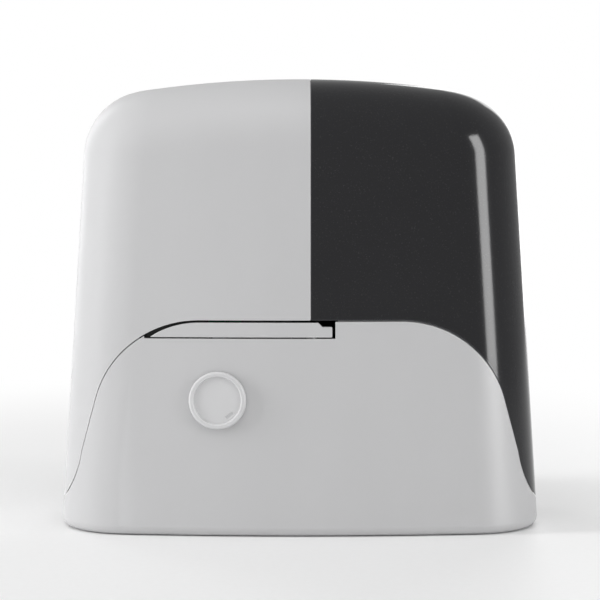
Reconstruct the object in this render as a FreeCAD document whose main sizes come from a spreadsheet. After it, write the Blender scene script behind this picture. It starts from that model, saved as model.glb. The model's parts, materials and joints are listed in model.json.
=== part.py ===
import FreeCAD, Part
import math
import os
import re

import Sketcher

V = FreeCAD.Vector
Turn = FreeCAD.Rotation

# Sliding gate motor, in millimetres.
# Origin: centre of the base's bottom face. +Z up, +X towards the dark end,
# -Y the front with the release lever, +Y the back with the rack pinion.
SIZES = {
    # outer form, shared by the base and the two halves of the cover
    "half_length": 151.5,
    "half_depth": 77.0,
    "height": 280.0,
    "end_draft": 0.0633,
    "side_draft": 0.0436,
    "side_bulge": 950.0,
    "end_bulge": 350.0,
    "corner_round": 46.0,
    "crown_round": 700.0,
    "top_round": 42.0,
    "foot_round": 6.0,
    # walls and the joint between base and cover
    "cover_wall": 2.7,
    "base_wall": 4.5,
    "fit_gap": 0.3,
    "lip_rise": 5.0,
    "joint_gap": 0.8,
    "joint_height": 131.0,
    "arch_x": "=half_length - 89.5",
    "arch_round": 66.0,
    "arch_lean": 15.0,
    "knee_x": "=half_length - 16.7",
    "knee_z": 49.7,
    "skirt_mid_x": "=half_length - 11.2",
    "skirt_mid_z": 31.5,
    "skirt_x": "=half_length - 1.5",
    "skirt_z": 16.0,
    "seam_x": 6.5,
    "seam_flange": 9.0,
    "seam_flange_thick": 2.4,
    # light strip on the dark end
    "tongue_half": 23.0,
    "tongue_half_low": 18.0,
    "tongue_wide_z": 215.0,
    "tongue_narrow_z": 156.0,
    "tongue_start_x": 9.0,
    "tongue_sink": 1.5,
    "tongue_gap": 0.6,
    "flange_reach": 4.0,
    "panel_thick": 2.0,
    "lens_half": 5.0,
    "lens_end_z": 155.0,
    "lens_gap": 0.2,
    "lens_thick": 1.5,
    "strip_half": 4.0,
    "strip_thick": 1.4,
    # chassis
    "floor_thick": 8.0,
    "bolt_span_x": "=2 * half_length - 53",
    "bolt_span_y": 90.0,
    "bolt_hole_r": 6.0,
    "cable_x": -62.0,
    "cable_y": -40.0,
    "cable_hole_r": 15.0,
    "tower_r": 6.0,
    "tower_x": "=half_length - 55.5",
    "tower_y": 55.0,
    "tower_top": 26.0,
    # output shaft and gear train
    "shaft_x": 7.0,
    "shaft_z": 57.0,
    "shaft_r": 10.0,
    "seat_r": 12.5,
    "shaft_front": -50.0,
    "rod_r": 4.0,
    "run_gap": 0.05,
    "pinion_module": 4.0,
    "pinion_teeth": 15,
    "pinion_width": 20.0,
    "pinion_start": 83.6,
    "pinion_bevel": 3.0,
    "wheel_module": 3.0,
    "wheel_teeth": 26,
    "wheel_half_width": 7.0,
    "wheel_hub_r": 20.0,
    "wheel_hub_back": 16.0,
    "worm_pitch_r": 13.0,
    "worm_root_r": 9.2,
    "worm_journal_r": 7.5,
    "case_r": 49.0,
    "case_wall": 5.0,
    "case_front": -28.0,
    "case_back": 40.0,
    "lid_thick": 6.0,
    "ball_race_r": 21.0,
    "ball_race_thick": 12.0,
    "big_race_r": 26.0,
    "big_race_thick": 15.0,
    "tunnel_half": 21.0,
    "tunnel_top": 100.0,
    # output flange, boss and seal
    "disc_r": 50.0,
    "disc_back": 83.0,
    "disc_thick": 3.0,
    "boss_r": 52.0,
    "spigot_r": 32.0,
    "seal_r": 20.0,
    "seal_thick": 7.0,
    # pinion guard
    "guard_back": 115.0,
    "guard_wall": 3.0,
    "guard_top": 68.6,
    "guard_r": 49.0,
    "guard_round": 5.0,
    "channel_z": 48.5,
    "channel_half": 6.5,
    "channel_in": 40.5,
    "channel_start": 88.5,
    # clutch and release
    "release_stroke": 6.0,
    "sleeve_front": 18.5,
    "sleeve_thick": 10.0,
    "sleeve_r": 19.0,
    "dog_depth": 4.0,
    "release_y": -64.5,
    "release_r": 3.2,
    "cam_low_r": 4.8,
    "cam_half": 5.0,
    "nose_gap": 0.6,
    "arm_low_z": 36.0,
    "arm_high_z": 74.0,
    "arm_thick": 4.0,
    "lever_low": 121.5,
    "lever_tip_x": "=-24 - arch_x",
    "lever_end_x": 19.6,
    "lever_gap": 0.8,
    "lever_thick": 5.0,
    "lever_swing_gap": 1.9,
    "latch_half": 6.0,
    "latch_swing_gap": 14.0,
    # lock and its cap
    "lock_x": -50.0,
    "lock_z": 83.3,
    "cap_r": 17.5,
    "cap_inner_r": 14.25,
    "cap_proud": 3.4,
    "cap_dish": 1.3,
    "lock_head_r": 13.0,
    "lock_barrel_r": 9.9,
    "plug_r": 6.0,
    "cap_pin_r": 1.3,
    "cap_pin_depth": 2.9,
    # limit switch
    "limit_z": 122.0,
    "limit_pivot_y": 46.0,
    "limit_rod_r": 3.9,
    "limit_rod_end": 105.5,
    "limit_tip": 5.0,
    "limit_swing": 25.0,
    # motor
    "motor_r": 34.0,
    "motor_low": 104.0,
    "motor_tall": 92.0,
    "motor_cap": 12.0,
    # electronics
    "tray_y": -20.0,
    "tray_left": "=33.5 - half_length",
    "tray_right": -12.0,
    "tray_low": 122.0,
    "tray_top": 236.0,
    "tray_thick": 3.0,
    "board_margin": 4.0,
    "board_thick": 1.6,
    "standoff": 6.0,
    "trafo_x": "=49.5 - half_length",
    "trafo_y": 9.0,
    "trafo_wide": 50.0,
    "trafo_deep": 40.0,
    "trafo_tall": 50.0,
    # fasteners
    "screw_r": 2.0,
    "screw_head_r": 3.6,
    "screw_head_tall": 2.4,
    "foot_bolt_r": 3.0,
}

doc = FreeCAD.newDocument("gate_motor")
sheet = doc.addObject("Spreadsheet::Sheet", "Sizes")
for row, (word, value) in enumerate(SIZES.items(), start=1):
    sheet.set(f"A{row}", word)
    sheet.set(f"B{row}", str(value))
    sheet.setAlias(f"B{row}", word)
doc.recompute()

WORD = re.compile(r"[A-Za-z_]\w*")


def bind(text):
    """The expression with each size's word pointing at its cell."""
    return WORD.sub(lambda m: "Sizes." + m.group() if m.group() in SIZES else m.group(), str(text))


def num(text):
    """The expression's value now, in millimetres or degrees."""
    return float(sheet.evalExpression(bind(text)))


def tie(thing, prop, text):
    thing.setExpression(prop, bind(text))


AXIS_TURN = {
    "x": Turn(V(0, 1, 0), 90),
    "y": Turn(V(1, 0, 0), -90),
    "z": Turn(),
}


def place(thing, x, y, z, turn=Turn()):
    thing.Placement = FreeCAD.Placement(V(num(x), num(y), num(z)), turn)
    for letter, text in zip("xyz", (x, y, z)):
        tie(thing, f"Placement.Base.{letter}", text)
    return thing


# ---------------------------------------------------------------- primitives
def box(label, x, y, z):
    """A block between low and high expressions along each axis."""
    thing = doc.addObject("Part::Box", label)
    for prop, (low, high) in zip(("Length", "Width", "Height"), (x, y, z)):
        tie(thing, prop, f"({high}) - ({low})")
    return place(thing, x[0], y[0], z[0])


def cylinder(label, axis, at, radius, start, stop):
    """A round bar along an axis, from start to stop; at holds the other two coordinates."""
    thing = doc.addObject("Part::Cylinder", label)
    tie(thing, "Radius", radius)
    tie(thing, "Height", f"({stop}) - ({start})")
    spots = list(at)
    spots.insert("xyz".index(axis), start)
    return place(thing, *spots, AXIS_TURN[axis])


def fuse(label, *pieces):
    thing = doc.addObject("Part::MultiFuse", label)
    thing.Shapes = list(pieces)
    return thing


def cut(label, base, *tools):
    thing = doc.addObject("Part::Cut", label)
    thing.Base = base
    thing.Tool = tools[0] if len(tools) == 1 else fuse(label + "_tools", *tools)
    return thing


def common(label, *pieces):
    thing = doc.addObject("Part::MultiCommon", label)
    thing.Shapes = list(pieces)
    return thing


def together(label, *pieces):
    """Separate solids that share one node."""
    thing = doc.addObject("Part::Compound", label)
    thing.Links = list(pieces)
    return thing


# ------------------------------------------------------------ sketched bodies
class Made:
    """One PartDesign body built from constrained sketches."""

    PLANES = {"XY": "XY_Plane", "XZ": "XZ_Plane", "YZ": "YZ_Plane"}

    def __init__(self, label):
        self.body = doc.addObject("PartDesign::Body", label)
        self.count = 0

    def sketch(self, plane, level):
        self.count += 1
        drawn = self.body.newObject("Sketcher::SketchObject", f"{self.body.Name}_sketch{self.count}")
        planes = [f for f in self.body.Origin.OriginFeatures if f.Role == self.PLANES[plane]]
        drawn.AttachmentSupport = [(planes[0], "")]
        drawn.MapMode = "FlatFace"
        sign = "-1 * " if plane == "XZ" else ""
        drawn.AttachmentOffset = FreeCAD.Placement(V(0, 0, num(f"{sign}({level})")), Turn())
        tie(drawn, "AttachmentOffset.Base.z", f"{sign}({level})")
        return drawn

    @staticmethod
    def arc(drawn, start, middle, stop):
        """Adds an arc, which a sketch keeps anticlockwise, and says which of its ends is start."""
        if (middle - start).cross(stop - middle).z > 0:
            return drawn.addGeometry(Part.Arc(start, middle, stop)), 1
        return drawn.addGeometry(Part.Arc(stop, middle, start)), 2

    def outline(self, drawn, points):
        """A closed outline. A point with four entries starts an arc through its second pair."""
        spots = [V(num(p[0]), num(p[1]), 0) for p in points]
        edges = []
        for index, point in enumerate(points):
            start, stop = spots[index], spots[(index + 1) % len(points)]
            if len(point) == 4:
                middle = V(num(point[2]), num(point[3]), 0)
                edges.append(self.arc(drawn, start, middle, stop))
            else:
                edges.append((drawn.addGeometry(Part.LineSegment(start, stop)), 1))
        for index, (edge, first) in enumerate(edges):
            following, next_first = edges[(index + 1) % len(edges)]
            drawn.addConstraint(Sketcher.Constraint("Coincident", edge, 3 - first, following, next_first))
        for (edge, first), point in zip(edges, points):
            self.pin_point(drawn, edge, first, point[0], point[1])
            if len(point) == 4:
                via = drawn.addGeometry(Part.Point(V(num(point[2]), num(point[3]), 0)), True)
                self.pin_point(drawn, via, 1, point[2], point[3])
                drawn.addConstraint(Sketcher.Constraint("PointOnObject", via, 1, edge))

    @staticmethod
    def pin_point(drawn, edge, end, across, up):
        for kind, text in (("DistanceX", across), ("DistanceY", up)):
            mark = drawn.addConstraint(Sketcher.Constraint(kind, -1, 1, edge, end, num(text)))
            tie(drawn, f"Constraints[{mark}]", text)

    def rounds(self, drawn, circles):
        for across, up, radius in circles:
            ring = drawn.addGeometry(Part.Circle(V(num(across), num(up), 0), V(0, 0, 1), num(radius)))
            mark = drawn.addConstraint(Sketcher.Constraint("Radius", ring, num(radius)))
            tie(drawn, f"Constraints[{mark}]", radius)
            self.pin_point(drawn, ring, 3, across, up)

    def swept(self, kind, plane, low, high, outlines, circles):
        ends_high = (plane == "XZ") == (kind == "Pad")
        drawn = self.sketch(plane, high if ends_high else low)
        for points in outlines:
            self.outline(drawn, points)
        self.rounds(drawn, circles)
        feature = self.body.newObject(f"PartDesign::{kind}", f"{self.body.Name}_{kind}{self.count}")
        feature.Profile = drawn
        tie(feature, "Length", f"({high}) - ({low})")
        drawn.Visibility = False
        return feature

    def pad(self, plane, low, high, outlines=(), circles=()):
        return self.swept("Pad", plane, low, high, outlines, circles)

    def pocket(self, plane, low, high, outlines=(), circles=()):
        return self.swept("Pocket", plane, low, high, outlines, circles)

    def spin(self, kind, points):
        """Revolution or Groove of a (radius, height) outline about the body's own Z axis."""
        drawn = self.sketch("XZ", "0")
        self.outline(drawn, points)
        feature = self.body.newObject(f"PartDesign::{kind}", f"{self.body.Name}_{kind}{self.count}")
        feature.Profile = drawn
        feature.ReferenceAxis = (drawn, ["V_Axis"])
        feature.Angle = 360
        return feature

    def ring_of(self, features, number):
        """The features repeated about the body's own Z axis."""
        axes = [f for f in self.body.Origin.OriginFeatures if f.Role == "Z_Axis"]
        pattern = self.body.newObject("PartDesign::PolarPattern", f"{self.body.Name}_ring{self.count}")
        pattern.Originals = features
        pattern.Axis = (axes[0], [""])
        pattern.Angle = 360
        tie(pattern, "Occurrences", number)
        self.body.Tip = pattern
        return pattern

    def round_edges(self, radius, wanted, kind="Fillet"):
        """Fillet or chamfer the tip's edges whose bounding box passes the test."""
        doc.recompute()
        tip = self.body.Tip
        names = []
        for index, edge in enumerate(tip.Shape.Edges, start=1):
            if wanted(edge.BoundBox, edge):
                names.append(f"Edge{index}")
        if not names:
            raise RuntimeError(f"{self.body.Label}: no edge to round")
        feature = self.body.newObject(f"PartDesign::{kind}", f"{self.body.Name}_{kind}{self.count}")
        feature.Base = (tip, names)
        tie(feature, "Radius" if kind == "Fillet" else "Size", radius)
        return feature


def turned(label, points, at, axis="y"):
    """A turned piece: a (radius, distance) outline spun about its axis and set in place."""
    made = Made(label)
    made.spin("Revolution", points)
    spots = list(at)
    spots.insert("xyz".index(axis), "0")
    place(made.body, *spots, AXIS_TURN[axis])
    return made


def ring(label, at, axis, inner, outer, start, stop):
    points = [(inner, start), (outer, start), (outer, stop), (inner, stop)]
    return turned(label, points, at, axis).body


def rectangle(x, z):
    return [(x[0], z[0]), (x[1], z[0]), (x[1], z[1]), (x[0], z[1])]


# ------------------------------------------------------------------ outer form
def plan_points(inset, level):
    """Centres and tangent points of the plan outline's bulged sides and round corners."""
    reach_x = num(f"half_length - ({inset}) - ({level}) * end_draft")
    reach_y = num(f"half_depth - ({inset}) - ({level}) * side_draft")
    side_r = num(f"side_bulge - ({inset})")
    end_r = num(f"end_bulge - ({inset})")
    corner_r = num(f"corner_round - ({inset})")
    side_c = V(0, reach_y - side_r, 0)
    end_c = V(reach_x - end_r, 0, 0)
    to_side, to_end = side_r - corner_r, end_r - corner_r
    between = side_c - end_c
    far = between.Length
    along = (to_end ** 2 - to_side ** 2 + far ** 2) / (2 * far)
    across = math.sqrt(to_end ** 2 - along ** 2)
    step = between * (1 / far)
    corner_c = end_c + step * along + V(-step.y, step.x, 0) * across
    if corner_c.x < 0:
        corner_c = end_c + step * along - V(-step.y, step.x, 0) * across
    on_side = side_c + (corner_c - side_c).normalize() * side_r
    on_end = end_c + (corner_c - end_c).normalize() * end_r
    bisector = (on_side - corner_c) + (on_end - corner_c)
    on_corner = corner_c + bisector.normalize() * corner_r
    return reach_x, reach_y, on_side, on_corner, on_end


def draw_plan(made, inset, level):
    """Eight tangent arcs, with their radii and centres bound to the sheet."""
    drawn = made.sketch("XY", level)
    reach_x, reach_y, side, corner, end = plan_points(inset, level)

    def spot(point, x_sign, y_sign):
        return V(point.x * x_sign, point.y * y_sign, 0)

    arcs = []
    for x_sign, y_sign in ((1, 1), (1, -1), (-1, -1), (-1, 1)):
        arcs.append((spot(side, x_sign, y_sign), spot(corner, x_sign, y_sign), spot(end, x_sign, y_sign)))
    top, bottom = V(0, reach_y, 0), V(0, -reach_y, 0)
    right, left = V(reach_x, 0, 0), V(-reach_x, 0, 0)
    loop = [
        ("side", spot(side, -1, 1), top, spot(side, 1, 1)),
        ("corner", *arcs[0]),
        ("end", spot(end, 1, 1), right, spot(end, 1, -1)),
        ("corner", *arcs[1][::-1]),
        ("side", spot(side, 1, -1), bottom, spot(side, -1, -1)),
        ("corner", *arcs[2]),
        ("end", spot(end, -1, -1), left, spot(end, -1, 1)),
        ("corner", *arcs[3][::-1]),
    ]
    radius = {"side": "side_bulge", "corner": "corner_round", "end": "end_bulge"}
    ends = []
    for kind, start, middle, stop in loop:
        ends.append(Made.arc(drawn, start, middle, stop))
    for index, (edge, first) in enumerate(ends):
        following, next_first = ends[(index + 1) % len(ends)]
        drawn.addConstraint(Sketcher.Constraint("Tangent", edge, 3 - first, following, next_first))
    for (edge, first), (kind, start, middle, stop) in zip(ends, loop):
        text = f"{radius[kind]} - ({inset})"
        mark = drawn.addConstraint(Sketcher.Constraint("Radius", edge, num(text)))
        tie(drawn, f"Constraints[{mark}]", text)
        if kind == "side":
            sign = "" if middle.y > 0 else "-1 * "
            up = f"{sign}(half_depth - ({level}) * side_draft - side_bulge)"
            Made.pin_point(drawn, edge, 3, "0", up)
        elif kind == "end":
            sign = "" if middle.x > 0 else "-1 * "
            across = f"{sign}(half_length - ({level}) * end_draft - end_bulge)"
            Made.pin_point(drawn, edge, 3, across, "0")
    return drawn


# The walls are drawn on past the crown, which then cuts them to height.
LOFT_TOP = "height + 12"


def shell_form(label, inset, low="0"):
    """The whole outer form, moved inwards by inset: a drafted loft, a crown and a rounded top."""
    made = Made(label)
    bottom = draw_plan(made, inset, low)
    top = draw_plan(made, inset, LOFT_TOP)
    loft = made.body.newObject("PartDesign::AdditiveLoft", f"{label}_loft")
    loft.Profile = bottom
    loft.Sections = [top]
    loft.Ruled = True
    reach = "half_length + 20"
    crest = f"height - ({inset})"
    crown = f"crown_round - ({inset})"
    drop = f"{crown} - sqrt(({crown}) ^ 2 - ({reach}) ^ 2)"
    roof = [
        (f"-1 * ({reach})", f"{crest} - ({drop})", "0", crest),
        (reach, f"{crest} - ({drop})"),
        (reach, f"{LOFT_TOP} + 20"),
        (f"-1 * ({reach})", f"{LOFT_TOP} + 20"),
    ]
    made.pocket("XZ", "-1 * half_depth - 20", "half_depth + 20", [roof])
    crown_low, crown_high = num(f"{crest} - ({drop})"), num(crest) + 1

    def on_top(bound, edge):
        centre_line = bound.XLength < 1 and bound.YLength > 60 and abs(bound.XMin) < 1
        return bound.ZMin > crown_low and bound.ZMax <= crown_high and not centre_line

    made.round_edges(f"top_round - ({inset})", on_top)
    return made


def form(label, inset, low="0"):
    return shell_form(label, inset, low).body


def joint_line(lift, side):
    """Points of the base-to-cover joint on one side, from the middle outwards."""
    def mirror(text):
        return f"{side} * ({text})"
    end_x = "arch_x + arch_round * cos(arch_lean)"
    end_z = "joint_height - arch_round + arch_round * sin(arch_lean)"
    mid_x = "arch_x + arch_round * cos(45 + arch_lean / 2)"
    mid_z = "joint_height - arch_round + arch_round * sin(45 + arch_lean / 2)"
    points = [
        (mirror("arch_x"), f"joint_height + ({lift})", mirror(mid_x), f"{mid_z} + ({lift})"),
        (mirror(end_x), f"{end_z} + ({lift})"),
        (mirror("knee_x"), f"knee_z + ({lift})", mirror("skirt_mid_x"), f"skirt_mid_z + ({lift})"),
        (mirror("skirt_x"), f"skirt_z + ({lift})"),
        (mirror("half_length + 10"), f"skirt_z + ({lift})"),
    ]
    return points


def turned_back(points):
    """The same outline walked the other way, with each arc's middle moved to its new start."""
    back = []
    for index in range(len(points) - 1, -1, -1):
        arc = points[index - 1][2:] if index > 0 else ()
        back.append(tuple(points[index][:2]) + tuple(arc))
    return back


def joint_prism(label, lift, closed_at, half_y="half_depth + 10"):
    """Everything below (or above) the joint line, as a prism along Y."""
    made = Made(label)
    right = joint_line(lift, 1)
    left = turned_back(joint_line(lift, -1))
    points = left + right
    points.append(("half_length + 10", closed_at))
    points.append(("-1 * (half_length + 10)", closed_at))
    made.pad("XZ", f"-1 * ({half_y})", half_y, [points])
    return made.body


def tongue_prism(label, grow, start_x):
    """The light strip's outline seen from the end, as a prism along X."""
    half = f"tongue_half + ({grow})"
    low = f"tongue_half_low + ({grow})"
    points = [
        (f"-1 * ({low})", "tongue_narrow_z", "0", f"tongue_narrow_z - ({low})"),
        (low, "tongue_narrow_z"),
        (half, "tongue_wide_z"),
        (half, "height + 20"),
        (f"-1 * ({half})", "height + 20"),
        (f"-1 * ({half})", "tongue_wide_z"),
    ]
    made = Made(label)
    made.pad("YZ", start_x, "half_length + 10", [points])
    return made.body


def lens_prism(label, half, start_x):
    points = [
        (f"-1 * ({half})", "lens_end_z", "0", f"lens_end_z - ({half})"),
        (half, "lens_end_z"),
        (half, "height + 20"),
        (f"-1 * ({half})", "height + 20"),
    ]
    made = Made(label)
    made.pad("YZ", start_x, "half_length + 10", [points])
    return made.body


NODES = []


def node(thing, name):
    """Keeps a finished piece under the name that its file takes."""
    thing = thing.body if isinstance(thing, Made) else thing
    thing.Label = name
    NODES.append(thing)
    return thing


def span(first, second, sign):
    """A low-to-high pair, mirrored when the sign is negative."""
    return (first, second) if sign > 0 else (f"-1 * ({second})", f"-1 * ({first})")


SHAFT = ("shaft_x", "shaft_z")
WIDE_X = ("-1 * half_length - 20", "half_length + 20")
WIDE_Y = ("-1 * half_depth - 20", "half_depth + 20")
CORNERS = ((1, 1), (1, -1), (-1, -1), (-1, 1))
LOCK = ("lock_x", "lock_z")
LOCK_FACE = "-1 * (half_depth - lock_z * side_draft - lock_x ^ 2 / (2 * side_bulge))"
LOCK_SEAT = f"{LOCK_FACE} + 2.6"
LEVER_FACE = "-1 * (half_depth - lever_low * side_draft)"
DISC_FRONT = "disc_back - disc_thick"
WORM_X = "shaft_x + wheel_module * wheel_teeth / 2 + worm_pitch_r"
WORM = (WORM_X, "0")

# ------------------------------------------------------- shells: shared forms
outer = shell_form("outer_form", "0")
outer.round_edges("foot_round", lambda bound, edge: bound.ZMax < 0.01)
outer_form = outer.body
cover_inside = form("cover_inside", "cover_wall", "-10")
lip_outside = form("lip_outside", "cover_wall + fit_gap + 0.1", "-10")
base_inside = form("base_inside", "base_wall", "-10")
base_bond = form("base_bond", "base_wall - 1", "-10")


def lock_spot(thing, rise="0", depth="0"):
    """Sets a piece on the shell's outward normal at the lock, rise up the face and depth into it."""
    normal = V(num("lock_x / side_bulge"), -1, num("side_draft"))
    seat = FreeCAD.Placement(V(num("lock_x"), num(LOCK_FACE), num("lock_z")), Turn(V(0, 0, 1), normal))
    thing.Placement = seat.multiply(FreeCAD.Placement(V(0, num(rise), -num(depth)), Turn()))
    return thing


def cap_pin(label, radius):
    """The pin that the lock's cap swings on, square to the face above the lock."""
    pin = doc.addObject("Part::Cylinder", label)
    tie(pin, "Radius", radius)
    tie(pin, "Height", "cap_pin_depth + 1.4")
    return lock_spot(pin, "cap_r - 2", "cap_pin_depth")


# ------------------------------------------------------------------ base shell
def tower_spots():
    return [(f"{x} * tower_x", f"{y} * tower_y") for x, y in CORNERS]


def base_bits():
    """What stands on the base's inner wall: screw towers with webs, and the lever's recess."""
    bits = []
    for index, ((x_sign, y_sign), at) in enumerate(zip(CORNERS, tower_spots())):
        bits.append(cylinder(f"tower{index}", "z", at, "tower_r", "floor_thick + fit_gap", "tower_top"))
        web_x = (f"{at[0]} - 1.2", f"{at[0]} + 1.2")
        web_y = span("tower_y", "tower_y + 20", y_sign)
        bits.append(box(f"web{index}", web_x, web_y, ("floor_thick + fit_gap", "tower_top")))
    shelf_x = ("lever_tip_x - 12", "shaft_x - 12")
    shelf_z = ("lever_low - lever_gap - 2", "lever_low - lever_gap")
    bits.append(box("recess_shelf", shelf_x, ("-1 * half_depth", "release_y + 5.5"), shelf_z))
    rear_z = (shelf_z[0], "joint_height + lip_rise")
    bits.append(box("recess_rear", shelf_x, ("release_y + 4", "release_y + 5.5"), rear_z))
    return fuse("base_bits", *bits)


def base_openings():
    """Every hole and notch of the base shell."""
    back_of_front = "-1 * half_depth + 20"
    before = "-1 * half_depth - 10"
    cuts = [
        box("lever_notch", ("lever_tip_x - 9", "lever_end_x + lever_swing_gap"), (before, "release_y + 4"),
            ("lever_low - lever_gap", "joint_height + lip_rise + 2")),
        cylinder("release_relief", "z", ("shaft_x", "release_y"), "release_r + 1.2",
                 "arm_high_z + 8", "lever_low + 1"),
        cylinder("head_seat", "y", LOCK, "lock_head_r + fit_gap", before, LOCK_SEAT),
        cylinder("lock_hole", "y", LOCK, "lock_barrel_r + run_gap", before, back_of_front),
        cap_pin("cap_pin_hole", "cap_pin_r + run_gap"),
        cylinder("boss_bore", "y", SHAFT, "spigot_r + 0.5", "half_depth - 20", "disc_back + 1"),
        box("latch_gap", ("lock_x - latch_half", "lock_x + latch_swing_gap"), ("release_y - 1", "release_y + 10"),
            ("lever_low - 8", "joint_height + 12")),
    ]
    swing = "(half_depth - limit_pivot_y) * tan(limit_swing) + limit_rod_r / cos(limit_swing) + 0.8"
    cuts.append(box("limit_slot", (f"shaft_x - ({swing})", f"shaft_x + ({swing})"),
                    ("half_depth - 16", "half_depth + 10"),
                    ("limit_z - limit_rod_r - 0.7", "limit_z + limit_rod_r + 0.7")))
    for index, sign in enumerate((1, -1)):
        cuts.append(box(f"clip_gap{index}", span("half_length - 14", "half_length + 5", sign),
                        ("-4.4", "4.4"), ("skirt_z - 2.4", "skirt_z + 12")))
    for index, at in enumerate(tower_spots()):
        cuts.append(cylinder(f"tower_hole{index}", "z", at, "screw_r + run_gap", "0", "tower_top - 3"))
    return cuts


def base_shell():
    """The pale lower shell, with its arched edge, inner lip and bossed back."""
    wall = common("base_wall_part", outer_form, joint_prism("base_below", "0", "-20"))
    lip = common("lip_part", lip_outside, joint_prism("lip_below", "lip_rise", "-20"),
                 box("lip_zone", WIDE_X, WIDE_Y, ("foot_round + 2", "height")))
    boss = cylinder("boss_bar", "y", SHAFT, "boss_r", "half_depth - 12", DISC_FRONT)
    hollow = cut("base_hollow", fuse("base_solid", wall, lip, boss), base_inside)
    bits = common("bits_inside", base_bits(), base_bond)
    whole = fuse("base_whole", hollow, bits)
    return node(cut("base_shell", whole, *base_openings()), "base_shell")


# ----------------------------------------------------------------------- cover
def tongue_parts():
    """The inset panel, the glowing lens and the light strip of the dark end."""
    panel_out = form("panel_outside", "tongue_sink")
    flange_out = form("flange_outside", "cover_wall + fit_gap")
    panel_in = form("panel_inside", "cover_wall + fit_gap + panel_thick")
    face = common("panel_face", panel_out, tongue_prism("panel_prism", "-1 * tongue_gap", "tongue_start_x + tongue_gap"))
    reach = "flange_reach"
    flange = common("panel_flange", flange_out,
                    tongue_prism("flange_prism", reach, "tongue_start_x + fit_gap"))
    opening = lens_prism("lens_slot", "lens_half + lens_gap", "tongue_start_x + 6")
    solid = cut("panel_solid", fuse("panel_whole", face, flange), panel_in)
    node(cut("light_panel", solid, opening), "light_panel")
    lens_low = form("lens_low", "cover_wall + 2 * fit_gap + panel_thick")
    lens_in = form("lens_inside", "cover_wall + 2 * fit_gap + panel_thick + lens_thick")
    lens_face = common("lens_face", panel_out, lens_prism("lens_bar", "lens_half", "tongue_start_x + 6 + lens_gap"))
    lens_foot = common("lens_foot", lens_low, lens_prism("lens_wide", "lens_half + 3", "tongue_start_x + 3"))
    node(cut("light_lens", fuse("lens_whole", lens_face, lens_foot), lens_in), "light_lens")
    strip_out = form("strip_outside", "cover_wall + 3 * fit_gap + panel_thick + lens_thick")
    strip_in = form("strip_inside", "cover_wall + 3 * fit_gap + panel_thick + lens_thick + strip_thick")
    strip = common("strip_bar", strip_out, lens_prism("strip_prism", "strip_half", "tongue_start_x + 8"))
    node(cut("led_strip", strip, strip_in), "led_strip")


def cover_halves():
    """Two moulded shells that meet at a straight seam and are screwed together inside."""
    above = joint_prism("cover_above", "joint_gap", "-20")
    skin = cut("cover_skin", outer_form, above, cover_inside)
    collar_zone = ("seam_x - seam_flange_thick", "seam_x + seam_flange_thick")
    collar_in = form("collar_inside", "cover_wall + seam_flange")
    band = common("seam_band", form("seam_bond", "cover_wall - 1"), box("collar_zone", collar_zone, WIDE_Y,
                                                     ("joint_height + 16", "height + 5")))
    collar = cut("seam_collar", band, collar_in)
    spots = collar_spots()
    holes = [cylinder(f"seam_hole{i}", "x", at, "screw_r + run_gap", "seam_x - 12", "seam_x + 12")
             for i, at in enumerate(spots)]
    whole = fuse("cover_whole", skin, collar)
    light_zone = box("light_zone", ("-1 * half_length - 20", "seam_x"), WIDE_Y, ("-5", "height + 20"))
    node(cut("cover_light", common("cover_light_part", whole, light_zone), *holes), "cover_light")
    dark_zone = box("dark_zone", ("seam_x + 0.05", "half_length + 20"), WIDE_Y, ("-5", "height + 20"))
    opening = tongue_prism("tongue_opening", "0", "tongue_start_x")
    pilot = cut("cover_dark_part", common("cover_dark_zone", whole, dark_zone), opening)
    node(cut("cover_dark", pilot, *holes), "cover_dark")
    screws = []
    for index, at in enumerate(spots):
        head = ("seam_x - seam_flange_thick - screw_head_tall", "seam_x - seam_flange_thick")
        screws.append(fuse(f"seam_screw{index}",
                           cylinder(f"seam_head{index}", "x", at, "screw_head_r", *head),
                           cylinder(f"seam_shank{index}", "x", at, "screw_r", head[1], "seam_x + 6")))
    node(together("seam_screws", *screws), "seam_screws")


def collar_spots():
    side = "(half_depth - cover_wall - seam_flange / 2 - 0.5 - {0} * side_draft)"
    low, high = "joint_height + 24", "height - 70"
    spots = []
    for level in (low, high):
        for sign in ("", "-1 * "):
            spots.append((sign + side.format(f"({level})"), level))
    return spots


def cover_clips():
    """A sprung hook at each end, whose nose drops into the base's notch."""
    hooks = []
    for index, sign in enumerate((1, -1)):
        back = "half_length - cover_wall - 5"
        stem = box(f"clip_stem{index}", span(back, "half_length - cover_wall - 2.2", sign), ("-4", "4"),
                   ("skirt_z - 1.8", "skirt_z + 14"))
        nose = box(f"clip_nose{index}", span(back, "half_length - 1.2", sign), ("-4", "4"),
                   ("skirt_z - 1.8", "skirt_z + joint_gap - fit_gap"))
        hooks.append(fuse(f"clip{index}", stem, nose))
    node(together("cover_clips", *hooks), "cover_clips")


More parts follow.
